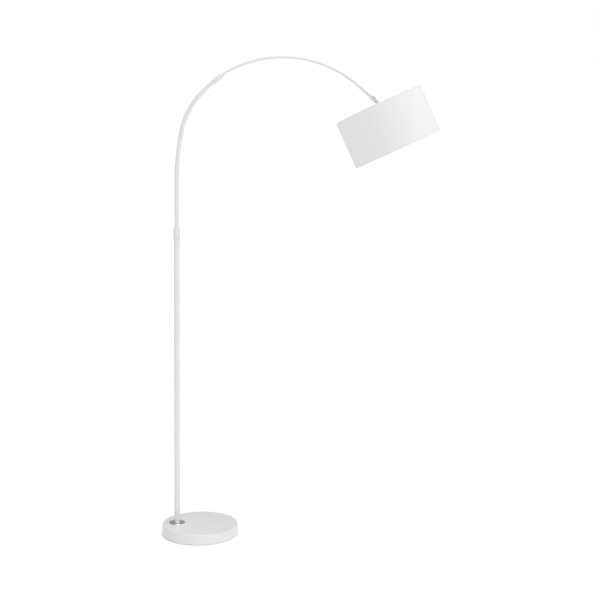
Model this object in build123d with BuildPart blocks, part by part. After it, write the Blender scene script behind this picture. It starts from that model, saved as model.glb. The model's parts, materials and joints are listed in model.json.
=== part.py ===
"""Arc floor lamp: weighted round base, offset pole, two-stage bent arm, tilting drum shade.

Frame: origin at the centre of the base on the floor, +Z up. The arm bends in the XZ plane and
reaches towards +X. Millimetres and degrees.
"""

import os
from math import cos, radians, sin

from build123d import *

os.makedirs("parts", exist_ok=True)

# ---------------------------------------------------------------- driving dimensions
# Base
base_diameter = 300.0
base_height = 40.5
cover_wall = 1.2
cover_edge_radius = 3.0
pad_thickness = 2.0
pad_inset = 2.0
plate_thickness = 1.2
weight_gap = 1.3
weight_web = 16.3
weight_rim_wall = 12.0
rib_width = 6.0
rib_angles = (0.0, 60.0, 240.0, 300.0)
pole_offset = 93.0
grommet_angle = 125.0
grommet_height = 10.5

# Foot fastening
flange_diameter = 63.0
flange_height = 6.0
nipple_diameter = 13.0
nipple_bore = 8.0
nut_pocket_diameter = 46.0
foot_web = 8.0

# Pole
pole_diameter = 22.0
pole_wall = 1.2
pole_section = 376.2
pole_sections = 3

# Height clamp at the top of the pole
clamp_ring_lip = 1.2
clamp_ring_height = 9.5
clamp_groove = 1.5
clamp_nut_lip = 2.0
clamp_nut_height = 34.0

# Arm
lower_tube_diameter = 16.0
lower_tube_wall = 1.2
upper_tube_diameter = 10.0
upper_tube_wall = 1.0
arm_insertion = 165.0
arm_straight = 215.0
lean_radius = 1120.0
lean_turn = 9.4
bend_radius = 313.0
bend_turn = 41.4
lower_stub = 22.0
upper_straight = 55.3
arc_clamp_length = 38.0
arc_clamp_lip = 2.0
arc_clamp_web = 1.2
ease_radius = 190.0
ease_turn = 10.4
arc_radius = 441.0
arc_turn = 68.7
arm_drop = 96.0

# Swivel
yoke_diameter = 15.0
yoke_length = 37.0
tongue_width = 8.8
pivot_screw_diameter = 3.0

# Shade and lampholder
shade_diameter = 350.0
shade_height = 185.0
shade_wall = 1.2
shade_tilt = 25.2
shade_wire = 3.4
spider_wire = 4.0
shade_below_pivot = 11.0
fitter_recess = 34.0
trim_thickness = 0.4
trim_height = 7.0
holder_diameter = 39.0

# Bulb
bulb_diameter = 60.0
bulb_length = 108.0
bulb_cap_diameter = 26.4

# Flex
flex_diameter = 5.0
flex_play = 3.5
flex_slack_bottom = 600.0
flex_bend = 12.0

# Clearances
running = 0.05
seated = 0.03
loose = 0.3

# ---------------------------------------------------------------- derived sizes
base_radius = base_diameter / 2
weight_bottom = pad_thickness + plate_thickness
weight_top = base_height - cover_wall
weight_radius = base_radius - cover_wall - weight_gap
web_bottom = weight_top - weight_web
nut_seat = weight_top - foot_web
pole_bore = pole_diameter - 2 * pole_wall
plug_diameter = pole_bore - 2 * seated
flex_way = flex_diameter + flex_play
pole_bottom = base_height + flange_height
pole_top = pole_bottom + pole_sections * pole_section
clamp_ring_diameter = pole_diameter + 2 * clamp_ring_lip
clamp_nut_diameter = pole_diameter + 2 * clamp_nut_lip
arc_clamp_diameter = lower_tube_diameter + 2 * arc_clamp_lip
foot_axis = Plane(origin=(-pole_offset, 0, 0))


def pole_plane(height):
    """Level plane on the pole's axis."""
    return foot_axis.offset(height)


# ---------------------------------------------------------------- shared shapes
def ring(plane, outer, inner, length, mode=Mode.ADD):
    """Round bar or tube of the given diameters along the plane's normal."""
    with BuildSketch(plane) as section:
        Circle(outer / 2)
        if inner:
            Circle(inner / 2, mode=Mode.SUBTRACT)
    extrude(section.sketch, amount=length, mode=mode)


def turned(plane, outline, mode=Mode.ADD):
    """Turned shape about the plane's normal, from (radius, height) points."""
    side = Plane(origin=plane.origin, x_dir=plane.x_dir, z_dir=-plane.y_dir)
    with BuildSketch(side) as section:
        with BuildLine():
            Polyline(*outline, close=True)
        make_face()
    revolve(section.sketch, axis=Axis(plane.origin, plane.z_dir), mode=mode)


def torus(plane, height, centre_radius, wire):
    """Wire ring lying parallel to the plane."""
    side = Plane(origin=plane.origin, x_dir=plane.x_dir, z_dir=-plane.y_dir)
    with BuildSketch(side) as section:
        with Locations((centre_radius, height)):
            Circle(wire / 2)
    revolve(section.sketch, axis=Axis(plane.origin, plane.z_dir))


def along(route, outer, inner=0.0):
    """Round bar or tube that follows a route."""
    start = Plane(origin=route @ 0, z_dir=route % 0)
    with BuildSketch(start) as section:
        Circle(outer / 2)
        if inner:
            Circle(inner / 2, mode=Mode.SUBTRACT)
    sweep(section.sketch, path=route)


def slot_cut(plane, size, bottom, height):
    """Cuts a rectangular channel, size across and height along the plane's normal."""
    with BuildSketch(plane.offset(bottom)) as section:
        Rectangle(*size)
    extrude(section.sketch, amount=height, mode=Mode.SUBTRACT)


def save(piece, name):
    """Labels a finished piece and writes it."""
    piece.part.label = name
    export_step(piece.part, f"parts/{name}.step")


# ---------------------------------------------------------------- arm routes
tail_height = pole_top - arm_insertion
lean_start = pole_top + arm_straight

with BuildLine(Plane.XZ) as lower_route:
    rise = Line((-pole_offset, tail_height), (-pole_offset, lean_start))
    lean = JernArc(rise @ 1, rise % 1, lean_radius, -lean_turn)
    bend = JernArc(lean @ 1, lean % 1, bend_radius, -bend_turn)
    stub_start = bend @ 1
    stub_way = bend % 1
    Line(stub_start, stub_start + stub_way * lower_stub)

collar = Plane(origin=stub_start, x_dir=(0, 1, 0), z_dir=stub_way)
collar_end = lower_stub + arc_clamp_length
upper_tail = 4.0

with BuildLine(Plane.XZ) as upper_route:
    inserted = Line(stub_start + stub_way * upper_tail, stub_start + stub_way * upper_straight)
    ease = JernArc(inserted @ 1, inserted % 1, ease_radius, -ease_turn)
    arc = JernArc(ease @ 1, ease % 1, arc_radius, -arc_turn)
    drop_start = arc @ 1
    drop_way = arc % 1
    tube_stop = 17.8
    Line(drop_start, drop_start + drop_way * (arm_drop - tube_stop))

pivot = drop_start + drop_way * arm_drop
yoke_axis = Plane(origin=pivot, x_dir=(0, 1, 0), z_dir=drop_way)
shade_way = Vector(sin(radians(shade_tilt)), 0, -cos(radians(shade_tilt)))
head_axis = Plane(origin=pivot, x_dir=(0, 1, 0), z_dir=shade_way)

# ================================================================ STAND
# ---------------------------------------------------------------- base pad: soft foam disc
with BuildPart() as base_pad:
    ring(Plane.XY, 2 * (weight_radius - pad_inset), 0, pad_thickness)
save(base_pad, "base_pad")

# ---------------------------------------------------------------- bottom plate and its screws
screw_circle = weight_radius - weight_rim_wall / 2
plate_screw = 4.0
plate_screw_head = 7.0
plate_screw_reach = 9.0
plate_screw_turn = 30.0
plate_screw_count = 3
screw_hole_spare = 2.0

with BuildPart() as bottom_plate:
    ring(Plane.XY.offset(pad_thickness), 2 * weight_radius, 0, plate_thickness)
    with Locations(Plane.XY.offset(pad_thickness)):
        with PolarLocations(screw_circle, plate_screw_count, start_angle=plate_screw_turn):
            Cone(plate_screw_head / 2, plate_screw / 2, plate_thickness,
                 align=(Align.CENTER, Align.CENTER, Align.MIN), mode=Mode.SUBTRACT)
save(bottom_plate, "bottom_plate")

with BuildPart() as bottom_screws:
    with Locations(Plane.XY.offset(pad_thickness)):
        with PolarLocations(screw_circle, plate_screw_count, start_angle=plate_screw_turn):
            Cone(plate_screw_head / 2 - seated, plate_screw / 2 - seated, plate_thickness,
                 align=(Align.CENTER, Align.CENTER, Align.MIN))
            Cylinder(plate_screw / 2 - seated, plate_screw_reach,
                     align=(Align.CENTER, Align.CENTER, Align.MIN))
save(bottom_screws, "bottom_screws")

# ---------------------------------------------------------------- cast iron weight
grommet_way = Vector(cos(radians(grommet_angle)), sin(radians(grommet_angle)), 0)
grommet_axis = Plane(origin=grommet_way * base_radius + Vector(0, 0, grommet_height),
                     x_dir=(0, 0, 1), z_dir=grommet_way)
flex_notch = 18.0
flex_notch_depth = weight_rim_wall + 8.0
rib_bottom = weight_bottom + 5.0
rib_length = weight_radius - weight_rim_wall / 2
hub_radius = 30.0

with BuildPart() as base_weight:
    ring(Plane.XY.offset(web_bottom), 2 * weight_radius, 0, weight_web)
    rim_inner = 2 * (weight_radius - weight_rim_wall)
    ring(Plane.XY.offset(weight_bottom), 2 * weight_radius, rim_inner, web_bottom - weight_bottom)
    with BuildSketch(Plane.XY.offset(rib_bottom)) as rib_section:
        for rib_angle in rib_angles:
            with Locations(Rotation(0, 0, rib_angle)):
                Rectangle(rib_length, rib_width, align=(Align.MIN, Align.CENTER))
        Circle(hub_radius)
    extrude(rib_section.sketch, amount=web_bottom - rib_bottom)
    ring(pole_plane(web_bottom), nut_pocket_diameter, 0, nut_seat - web_bottom, Mode.SUBTRACT)
    ring(pole_plane(nut_seat), nipple_diameter + 1, 0, foot_web, Mode.SUBTRACT)
    with Locations(Plane.XY.offset(weight_bottom)):
        with PolarLocations(screw_circle, plate_screw_count, start_angle=plate_screw_turn):
            Cylinder(plate_screw / 2, plate_screw_reach + screw_hole_spare,
                     align=(Align.CENTER, Align.CENTER, Align.MIN), mode=Mode.SUBTRACT)
    slot_cut(grommet_axis, (2 * (flex_notch - grommet_height), flex_notch),
             -flex_notch_depth, flex_notch_depth)
save(base_weight, "base_weight")

# ---------------------------------------------------------------- pressed steel cover
grommet_hole = 10.4
grommet_hole_depth = 10.0
nipple_hole = nipple_diameter + 1.0

with BuildPart() as base_cover:
    ring(Plane.XY.offset(pad_thickness), base_diameter, 0, base_height - pad_thickness)
    fillet(base_cover.edges().group_by(Axis.Z)[-1], radius=cover_edge_radius)
    ring(Plane.XY.offset(pad_thickness), base_diameter - 2 * cover_wall, 0,
         weight_top - pad_thickness, Mode.SUBTRACT)
    ring(pole_plane(weight_top), nipple_hole, 0, cover_wall, Mode.SUBTRACT)
    ring(grommet_axis.offset(-grommet_hole_depth), grommet_hole, 0, 2 * grommet_hole_depth, Mode.SUBTRACT)
save(base_cover, "base_cover")

# ---------------------------------------------------------------- cord grommet
grommet_bore = 6.6
grommet_flange = 14.0
grommet_lip = 2.4
grommet_tail = 2.0
grommet_edge = 1.0
grommet_barb = 1.6
grommet_barb_gap = 0.2

with BuildPart() as cord_grommet:
    turned(grommet_axis, [
        (grommet_bore / 2, -cover_wall - grommet_tail),
        (grommet_hole / 2 + grommet_barb / 2, -cover_wall - grommet_tail),
        (grommet_hole / 2 + grommet_barb, -cover_wall - grommet_barb_gap),
        (grommet_hole / 2 - running, -cover_wall - grommet_barb_gap),
        (grommet_hole / 2 - running, 0),
        (grommet_flange / 2, 0),
        (grommet_flange / 2, grommet_lip - grommet_edge),
        (grommet_flange / 2 - grommet_edge, grommet_lip),
        (grommet_bore / 2, grommet_lip),
    ])
save(cord_grommet, "cord_grommet")

# ---------------------------------------------------------------- foot flange and its fastening
flange_edge = 1.4
flange_edge_chamfer = 0.8
flange_shoulder = 9.0
flange_shoulder_height = 3.9
flange_seat_lip = 1.4
flange_seat_rise = 0.9

with BuildPart() as foot_flange:
    turned(pole_plane(base_height), [
        (nipple_hole / 2, 0),
        (flange_diameter / 2, 0),
        (flange_diameter / 2, flange_edge),
        (flange_diameter / 2 - 1.5 * flange_edge_chamfer, flange_edge + flange_edge_chamfer),
        (flange_diameter / 2 - flange_shoulder, flange_shoulder_height),
        (pole_diameter / 2 + 2 * flange_seat_lip, flange_height - flange_seat_rise),
        (pole_diameter / 2 + flange_seat_lip, flange_height),
        (nipple_hole / 2, flange_height),
    ])
save(foot_flange, "foot_flange")

washer_thickness = 1.5
lock_washer_thickness = 1.2
foot_nut_height = 6.0
foot_nut_flats = 19.0
nipple_spare = 0.8
nipple_chamfer = 0.5
foot_washer_gap = 2.0
lock_washer_rim = 9.0
lock_washer_teeth = 12
lock_washer_bottom = nut_seat - washer_thickness - lock_washer_thickness
nipple_bottom = lock_washer_bottom - foot_nut_height - nipple_spare
nipple_reach = 22.0
foot_plug_length = 35.0

with BuildPart() as foot_nipple:
    ring(pole_plane(nipple_bottom), nipple_diameter, nipple_bore,
         pole_bottom + nipple_reach - nipple_bottom)
    chamfer(foot_nipple.edges().group_by(Axis.Z)[0], length=nipple_chamfer)
    chamfer(foot_nipple.edges().group_by(Axis.Z)[-1], length=nipple_chamfer)
save(foot_nipple, "foot_nipple")

with BuildPart() as foot_washer:
    ring(pole_plane(nut_seat - washer_thickness), nut_pocket_diameter - 2 * foot_washer_gap,
         nipple_diameter + 2 * loose, washer_thickness)
save(foot_washer, "foot_washer")

with BuildPart() as foot_lock_washer:
    ring(pole_plane(lock_washer_bottom), nipple_diameter + lock_washer_rim,
         nipple_diameter + 2 * loose, lock_washer_thickness)
    with BuildSketch(pole_plane(lock_washer_bottom)) as teeth_section:
        with PolarLocations((nipple_diameter + lock_washer_rim) / 2 + 0.7, lock_washer_teeth):
            RectangleRounded(2.4, 1.6, 0.4)
    extrude(teeth_section.sketch, amount=lock_washer_thickness)
save(foot_lock_washer, "foot_lock_washer")

with BuildPart() as foot_nut:
    with BuildSketch(pole_plane(lock_washer_bottom - foot_nut_height)) as nut_section:
        RegularPolygon(foot_nut_flats / 2, 6, major_radius=False)
        Circle(nipple_diameter / 2 + seated, mode=Mode.SUBTRACT)
    extrude(nut_section.sketch, amount=foot_nut_height)
save(foot_nut, "foot_nut")

with BuildPart() as pole_foot_plug:
    ring(pole_plane(pole_bottom), plug_diameter, nipple_bore, foot_plug_length)
    ring(pole_plane(pole_bottom), nipple_diameter + 2 * seated, 0,
         nipple_reach + nipple_spare, Mode.SUBTRACT)
save(pole_foot_plug, "pole_foot_plug")

# ---------------------------------------------------------------- pole sections and couplers
seam_chamfer = 0.35
coupler_depth = 30.0
coupler_stud_length = 22.0
coupler_spigot = 24.0
coupler_spigot_diameter = 14.0
coupler_spigot_spare = 2.0


def pole_tube(index):
    """One section of the pole, counted from the foot."""
    bottom = pole_bottom + index * pole_section
    with BuildPart() as tube:
        ring(pole_plane(bottom), pole_diameter, pole_bore, pole_section)
        rims = tube.edges().filter_by(GeomType.CIRCLE).sort_by(SortBy.RADIUS)[-2:]
        chamfer(rims, length=seam_chamfer)
    return tube


def coupler_socket(seam):
    """Internally threaded plug in the top of a section."""
    with BuildPart() as socket:
        ring(pole_plane(seam - coupler_depth), plug_diameter, flex_way, coupler_depth)
        ring(pole_plane(seam - coupler_spigot - coupler_spigot_spare),
             coupler_spigot_diameter + 2 * seated, 0,
             coupler_spigot + coupler_spigot_spare, Mode.SUBTRACT)
    return socket


def coupler_stud(seam):
    """Plug with a threaded spigot in the bottom of the next section."""
    with BuildPart() as stud:
        ring(pole_plane(seam), plug_diameter, 0, coupler_stud_length)
        ring(pole_plane(seam - coupler_spigot), coupler_spigot_diameter, 0, coupler_spigot)
        ring(pole_plane(seam - coupler_spigot), flex_way, 0,
             coupler_spigot + coupler_stud_length, Mode.SUBTRACT)
    return stud


for index, place in enumerate(("lower", "middle", "upper")):
    save(pole_tube(index), f"pole_{place}")

for index, place in enumerate(("lower", "upper"), start=1):
    seam_height = pole_bottom + index * pole_section
    save(coupler_socket(seam_height), f"{place}_coupler_socket")
    save(coupler_stud(seam_height), f"{place}_coupler_stud")

# ---------------------------------------------------------------- height clamp
collet_wall = 0.6
collet_bore = lower_tube_diameter + 2 * running
collet_diameter = collet_bore + 2 * collet_wall
body_bore = collet_diameter + 2 * running
clamp_neck_wall = 1.3
clamp_neck = body_bore + 2 * clamp_neck_wall
clamp_neck_height = 19.5
neck_top = clamp_ring_height + clamp_neck_height
nut_bottom = clamp_ring_height + clamp_groove
nut_top = nut_bottom + clamp_nut_height
body_plug = 40.0
collet_bottom = -25.0
nut_bore = clamp_neck + 2 * running
nut_mouth = lower_tube_diameter + 0.8
collet_collar = 1.5
collet_cone = 7.0
nut_cone = collet_cone + 1.0
clamp_edge = 0.6
clamp_crown = 3.6

with BuildPart() as clamp_body:
    turned(pole_plane(pole_top), [
        (body_bore / 2, -body_plug),
        (plug_diameter / 2, -body_plug),
        (plug_diameter / 2, 0),
        (clamp_ring_diameter / 2, 0),
        (clamp_ring_diameter / 2, clamp_ring_height - clamp_edge),
        (clamp_ring_diameter / 2 - clamp_edge, clamp_ring_height),
        (clamp_neck / 2, clamp_ring_height),
        (clamp_neck / 2, neck_top),
        (body_bore / 2, neck_top),
    ])
save(clamp_body, "clamp_body")

collet_slits = 4
collet_slit_depth = 14.0
slit_width = 1.2
collet_tip = 0.1

with BuildPart() as height_collet:
    turned(pole_plane(pole_top), [
        (collet_bore / 2, collet_bottom),
        (collet_diameter / 2, collet_bottom),
        (collet_diameter / 2, neck_top + loose),
        (clamp_neck / 2 - loose, neck_top + loose),
        (clamp_neck / 2 - loose, neck_top + collet_collar),
        (collet_diameter / 2 + collet_tip, neck_top + collet_cone),
        (collet_bore / 2, neck_top + collet_cone),
    ])
    with BuildSketch(pole_plane(pole_top + neck_top - collet_slit_depth)) as slit_section:
        with PolarLocations(collet_diameter / 2, collet_slits):
            Rectangle(clamp_neck / 2 - collet_bore / 4, slit_width)
    extrude(slit_section.sketch, amount=2 * collet_slit_depth, mode=Mode.SUBTRACT)
save(height_collet, "height_collet")

with BuildPart() as height_clamp_nut:
    ring(pole_plane(pole_top + nut_bottom), clamp_nut_diameter, 0, clamp_nut_height)
    fillet(height_clamp_nut.edges().group_by(Axis.Z)[-1], radius=clamp_crown)
    chamfer(height_clamp_nut.edges().group_by(Axis.Z)[0], length=clamp_edge)
    turned(pole_plane(pole_top), [
        (0, nut_bottom),
        (nut_bore / 2, nut_bottom),
        (nut_bore / 2, neck_top + collet_collar - loose),
        (collet_diameter / 2 + 2 * loose, neck_top + nut_cone),
        (nut_mouth / 2, neck_top + nut_cone),
        (nut_mouth / 2, nut_top),
        (0, nut_top),
    ], mode=Mode.SUBTRACT)
save(height_clamp_nut, "height_clamp_nut")

# ================================================================ LOWER ARM
lower_bore = lower_tube_diameter - 2 * lower_tube_wall

with BuildPart() as arm_lower_tube:
    along(lower_route.line, lower_tube_diameter, lower_bore)
save(arm_lower_tube, "arm_lower_tube")

tail_guide_height = 25.0
tail_guide_lip = 2.5
tail_guide_edge = 0.8

with BuildPart() as tail_guide:
    turned(pole_plane(tail_height), [
        (flex_way / 2, -tail_guide_lip),
        (pole_bore / 2 - running - tail_guide_edge, -tail_guide_lip),
        (pole_bore / 2 - running, -tail_guide_lip + tail_guide_edge),
        (pole_bore / 2 - running, tail_guide_height),
        (lower_tube_diameter / 2 + seated, tail_guide_height),
        (lower_tube_diameter / 2 + seated, 0),
        (flex_way / 2, 0),
    ])
save(tail_guide, "tail_guide")

# ---------------------------------------------------------------- arc clamp on the tube's upper end
arc_collet_bore = upper_tube_diameter + 2 * seated
arc_collet_wall = 1.2
arc_collet_diameter = arc_collet_bore + 2 * arc_collet_wall
arc_body_bore = arc_collet_diameter + 2 * running
arc_neck_wall = 1.7
arc_neck = arc_body_bore + 2 * arc_neck_wall
arc_plug_start = 2.0
arc_bore_floor = lower_stub + arc_clamp_web
arc_flange_end = lower_stub + 3.0
arc_neck_end = arc_flange_end + 17.0
arc_nut_bottom = arc_flange_end + 0.8
arc_cone = 6.0
arc_collet_collar = 1.2
arc_nut_bore = arc_neck + 2 * running

with BuildPart() as arc_clamp_body:
    turned(collar, [
        (upper_tube_diameter / 2 + loose, arc_plug_start),
        (lower_bore / 2 - seated, arc_plug_start),
        (lower_bore / 2 - seated, lower_stub),
        (arc_clamp_diameter / 2 - clamp_edge, lower_stub),
        (arc_clamp_diameter / 2 - clamp_edge, arc_flange_end),
        (arc_neck / 2, arc_flange_end),
        (arc_neck / 2, arc_neck_end),
        (arc_body_bore / 2, arc_neck_end),
        (arc_body_bore / 2, arc_bore_floor),
        (upper_tube_diameter / 2 + loose, arc_bore_floor),
    ])
save(arc_clamp_body, "arc_clamp_body")

arc_slit_depth = 11.0

with BuildPart() as arc_collet:
    turned(collar, [
        (arc_collet_bore / 2, arc_bore_floor + loose),
        (arc_collet_diameter / 2, arc_bore_floor + loose),
        (arc_collet_diameter / 2, arc_neck_end + loose),
        (arc_neck / 2 - loose, arc_neck_end + loose),
        (arc_neck / 2 - loose, arc_neck_end + arc_collet_collar),
        (arc_collet_diameter / 2 + collet_tip, arc_neck_end + arc_cone),
        (arc_collet_bore / 2, arc_neck_end + arc_cone),
    ])
    with BuildSketch(collar.offset(arc_neck_end - arc_slit_depth)) as arc_slit_section:
        with PolarLocations(arc_collet_diameter / 2, collet_slits):
            Rectangle(arc_neck / 2 - arc_collet_bore / 4, slit_width)
    extrude(arc_slit_section.sketch, amount=2 * arc_slit_depth, mode=Mode.SUBTRACT)
save(arc_collet, "arc_collet")

arc_nut_mouth = upper_tube_diameter + 0.8
arc_nut_wall = (arc_clamp_diameter - arc_nut_mouth) / 2
arc_crown = min(3.4, 0.9 * arc_nut_wall)

with BuildPart() as arc_clamp_nut:
    turned(collar, [
        (arc_nut_mouth / 2, collar_end),
        (arc_nut_mouth / 2, arc_neck_end + arc_cone + 1),
        (arc_collet_diameter / 2 + 2 * loose, arc_neck_end + arc_cone + 1),
        (arc_nut_bore / 2, arc_neck_end + arc_collet_collar - loose),
        (arc_nut_bore / 2, arc_nut_bottom),
        (arc_clamp_diameter / 2 - clamp_edge, arc_nut_bottom),
        (arc_clamp_diameter / 2, arc_nut_bottom + clamp_edge),
        (arc_clamp_diameter / 2, collar_end),
    ])
    crown = arc_clamp_nut.edges().filter_by(GeomType.CIRCLE)
    crown = crown.filter_by(lambda e: abs(e.radius - arc_clamp_diameter / 2) < 0.01)
    crown = crown.sort_by(Axis(collar.origin, collar.z_dir))[-1]
    fillet(crown, radius=arc_crown)
save(arc_clamp_nut, "arc_clamp_nut")

# ================================================================ UPPER ARM
upper_bore = upper_tube_diameter - 2 * upper_tube_wall

with BuildPart() as arm_upper_tube:
    along(upper_route.line, upper_tube_diameter, upper_bore)
save(arm_upper_tube, "arm_upper_tube")

# ---------------------------------------------------------------- swivel yoke with a rounded end
yoke_radius = yoke_diameter / 2
yoke_top = yoke_radius - yoke_length
tube_socket = -tube_stop + loose
yoke_slot = tongue_width + 2 * loose
flex_hole = flex_diameter + 1.0
slot_floor = -8.5
screw_head_diameter = 5.0
screw_head_seat = 5.65
screw_head_play = 0.2
screw_hole = pivot_screw_diameter + 2 * running
cheek_side = Plane(origin=pivot, x_dir=drop_way, z_dir=(0, 1, 0))

yoke_chamfer = 0.7
yoke_side = Plane(origin=pivot, x_dir=yoke_axis.x_dir, z_dir=-yoke_axis.y_dir)

with BuildPart() as swivel_yoke:
    with BuildSketch(yoke_side) as yoke_section:
        with BuildLine():
            Polyline((0, yoke_radius), (0, yoke_top), (yoke_radius - yoke_chamfer, yoke_top),
                     (yoke_radius, yoke_top + yoke_chamfer), (yoke_radius, 0))
            CenterArc((0, 0), yoke_radius, 0, 90)
        make_face()
    revolve(yoke_section.sketch, axis=Axis(pivot, drop_way))
    ring(yoke_axis.offset(yoke_top), upper_tube_diameter + 2 * seated, 0,
         tube_socket - yoke_top, Mode.SUBTRACT)
    ring(yoke_axis.offset(yoke_top), flex_hole, 0, -yoke_top, Mode.SUBTRACT)
    slot_cut(yoke_axis, (yoke_slot, 2 * yoke_diameter), slot_floor, 2 * yoke_diameter)
    with Locations(cheek_side):
        Cylinder(screw_hole / 2, yoke_diameter, mode=Mode.SUBTRACT)
    for side in (1, -1):
        ring(cheek_side.offset(side * screw_head_seat), screw_head_diameter + screw_head_play, 0,
             side * yoke_radius, Mode.SUBTRACT)
save(swivel_yoke, "swivel_yoke")

screw_tip = tongue_width / 2 - 1.3
screw_head_top = 6.9
driver_slot = 0.8
driver_slot_floor = 6.4
pivot_washer_diameter = 8.4
pivot_washer_thickness = 0.24

with BuildPart() as pivot_screws:
    for side in (1, -1):
        ring(cheek_side.offset(side * screw_tip), pivot_screw_diameter, 0,
             side * (screw_head_seat - screw_tip))
        ring(cheek_side.offset(side * screw_head_seat), screw_head_diameter, 0,
             side * (screw_head_top - screw_head_seat))
        slot_cut(cheek_side, (2 * screw_head_diameter, driver_slot), side * driver_slot_floor,
                 side * screw_head_top)
save(pivot_screws, "pivot_screws")

with BuildPart() as pivot_washers:
    for side in (1, -1):
        ring(cheek_side.offset(side * (tongue_width / 2 + seated)), pivot_washer_diameter,
             screw_hole, side * pivot_washer_thickness)
save(pivot_washers, "pivot_washers")

# ================================================================ HEAD
# ---------------------------------------------------------------- swivel tongue
tongue_bore = flex_diameter + 2 * loose
tongue_eye = 6.3
shoulder_top = 10.0
shoulder_bottom = 13.0
shoulder_diameter = 14.0
stub_diameter = 10.0
stub_bottom = 24.0
flex_swing = 2.5

with BuildPart() as swivel_tongue:
    with Locations(cheek_side):
        Cylinder(tongue_eye, tongue_width)
    ring(head_axis, tongue_width, 0, shoulder_top + 1)
    ring(head_axis.offset(shoulder_top), shoulder_diameter, 0, shoulder_bottom - shoulder_top)
    ring(head_axis.offset(shoulder_bottom), stub_diameter, 0, stub_bottom - shoulder_bottom)
    ring(head_axis, tongue_bore, 0, stub_bottom, Mode.SUBTRACT)
    slot_cut(head_axis, (tongue_bore, 4 * tongue_eye), -2 * tongue_eye, 2 * tongue_eye + flex_swing)
    with Locations(cheek_side):
        Cylinder(screw_hole / 2, 2 * tongue_width, mode=Mode.SUBTRACT)
save(swivel_tongue, "swivel_tongue")

# ---------------------------------------------------------------- lampholder
holder_radius = holder_diameter / 2
holder_wall = 2.0
cap_shoulder = 12.5
cap_bend = 26.0
cap_bottom = 42.0
cap_taper_wall = 1.3
cap_bend_wall = 0.8
locknut_flats = 17.0
locknut_height = 3.0
fitter_height = shade_below_pivot + fitter_recess
flange_top = fitter_height - 2.0

with BuildPart() as lampholder_cap:
    turned(head_axis, [
        (stub_diameter / 2 + seated, shoulder_bottom),
        (cap_shoulder, shoulder_bottom),
        (holder_radius, cap_bend),
        (holder_radius, cap_bottom),
        (holder_radius - holder_wall, cap_bottom),
        (holder_radius - holder_wall, cap_bend + cap_bend_wall),
        (cap_shoulder - cap_taper_wall, shoulder_bottom + holder_wall),
        (stub_diameter / 2 + seated, shoulder_bottom + holder_wall),
    ])
save(lampholder_cap, "lampholder_cap")

with BuildPart() as cap_locknut:
    with BuildSketch(head_axis.offset(shoulder_bottom + holder_wall)) as locknut_section:
        RegularPolygon(locknut_flats / 2, 6, major_radius=False)
        Circle(stub_diameter / 2 + seated, mode=Mode.SUBTRACT)
    extrude(locknut_section.sketch, amount=locknut_height)
save(cap_locknut, "cap_locknut")

body_bottom = 70.0
body_inner = 14.9
lip_top = 45.0
lip_bottom = 46.5
lip_width = 1.5
holder_flange = 23.0
skirt_radius = holder_radius - 0.1
skirt_chamfer = 1.0

with BuildPart() as lampholder_body:
    turned(head_axis, [
        (body_inner, cap_bottom),
        (skirt_radius, cap_bottom),
        (skirt_radius, flange_top),
        (holder_flange, flange_top),
        (holder_flange, fitter_height),
        (skirt_radius, fitter_height),
        (skirt_radius, body_bottom - skirt_chamfer),
        (skirt_radius - skirt_chamfer, body_bottom),
        (body_inner, body_bottom),
        (body_inner, lip_bottom),
        (body_inner - lip_width, lip_bottom),
        (body_inner - lip_width, lip_top),
        (body_inner, lip_top),
    ])
save(lampholder_body, "lampholder_body")

block_top = 36.0
block_play = 0.2
terminal_spread = 8.0
terminal_screw = 3.0
terminal_head = 2.0
terminal_reach = 5.0
terminal_hole = 6.0

with BuildPart() as contact_block:
    ring(head_axis.offset(block_top), 2 * (body_inner - block_play), 0, lip_top - block_top)
    with BuildSketch(head_axis.offset(block_top)) as terminal_holes:
        with Locations((terminal_spread, 0), (-terminal_spread, 0)):
            Circle(terminal_screw / 2)
    extrude(terminal_holes.sketch, amount=terminal_hole, mode=Mode.SUBTRACT)
save(contact_block, "contact_block")

with BuildPart() as terminal_screws:
    with BuildSketch(head_axis.offset(block_top - terminal_head)) as terminal_heads:
        with Locations((terminal_spread, 0), (-terminal_spread, 0)):
            Circle(terminal_screw)
    extrude(terminal_heads.sketch, amount=terminal_head)
    with BuildSketch(head_axis.offset(block_top)) as terminal_shanks:
        with Locations((terminal_spread, 0), (-terminal_spread, 0)):
            Circle(terminal_screw / 2 - seated)
    extrude(terminal_shanks.sketch, amount=terminal_reach)
save(terminal_screws, "terminal_screws")

shell_top = 47.0
shell_bottom = 68.0
shell_inner = bulb_cap_diameter / 2 + loose
shell_wall = 0.6
shell_outer = shell_inner + shell_wall

with BuildPart() as screw_shell:
    ring(head_axis.offset(shell_top), 2 * shell_outer, 2 * shell_inner, shell_bottom - shell_top)
save(screw_shell, "screw_shell")

tip_height = 48.8
spring_width = 4.0
spring_thickness = 0.4
spring_side = Plane(origin=pivot, x_dir=head_axis.y_dir, z_dir=head_axis.x_dir)
spring_profile = [(-8, lip_top + 0.3), (1, lip_top + 0.3), (6, tip_height - 0.9), (-3, tip_height - 0.5)]

with BuildPart() as contact_spring:
    with BuildSketch(spring_side) as spring_section:
        with BuildLine():
            FilletPolyline(*spring_profile, radius=0.5)
        trace(line_width=spring_thickness)
    extrude(spring_section.sketch, amount=spring_width / 2, both=True)
save(contact_spring, "contact_spring")

# ---------------------------------------------------------------- shade ring, fitter, drum, trims
hub_thickness = 1.3
hub_gap = 0.1
shade_ring_top = fitter_height + hub_thickness + loose
shade_ring_height = 7.5
shade_ring_radius = 26.5
grip_count = 24
grip_radius = 0.9
grip_start = 2.0

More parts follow.
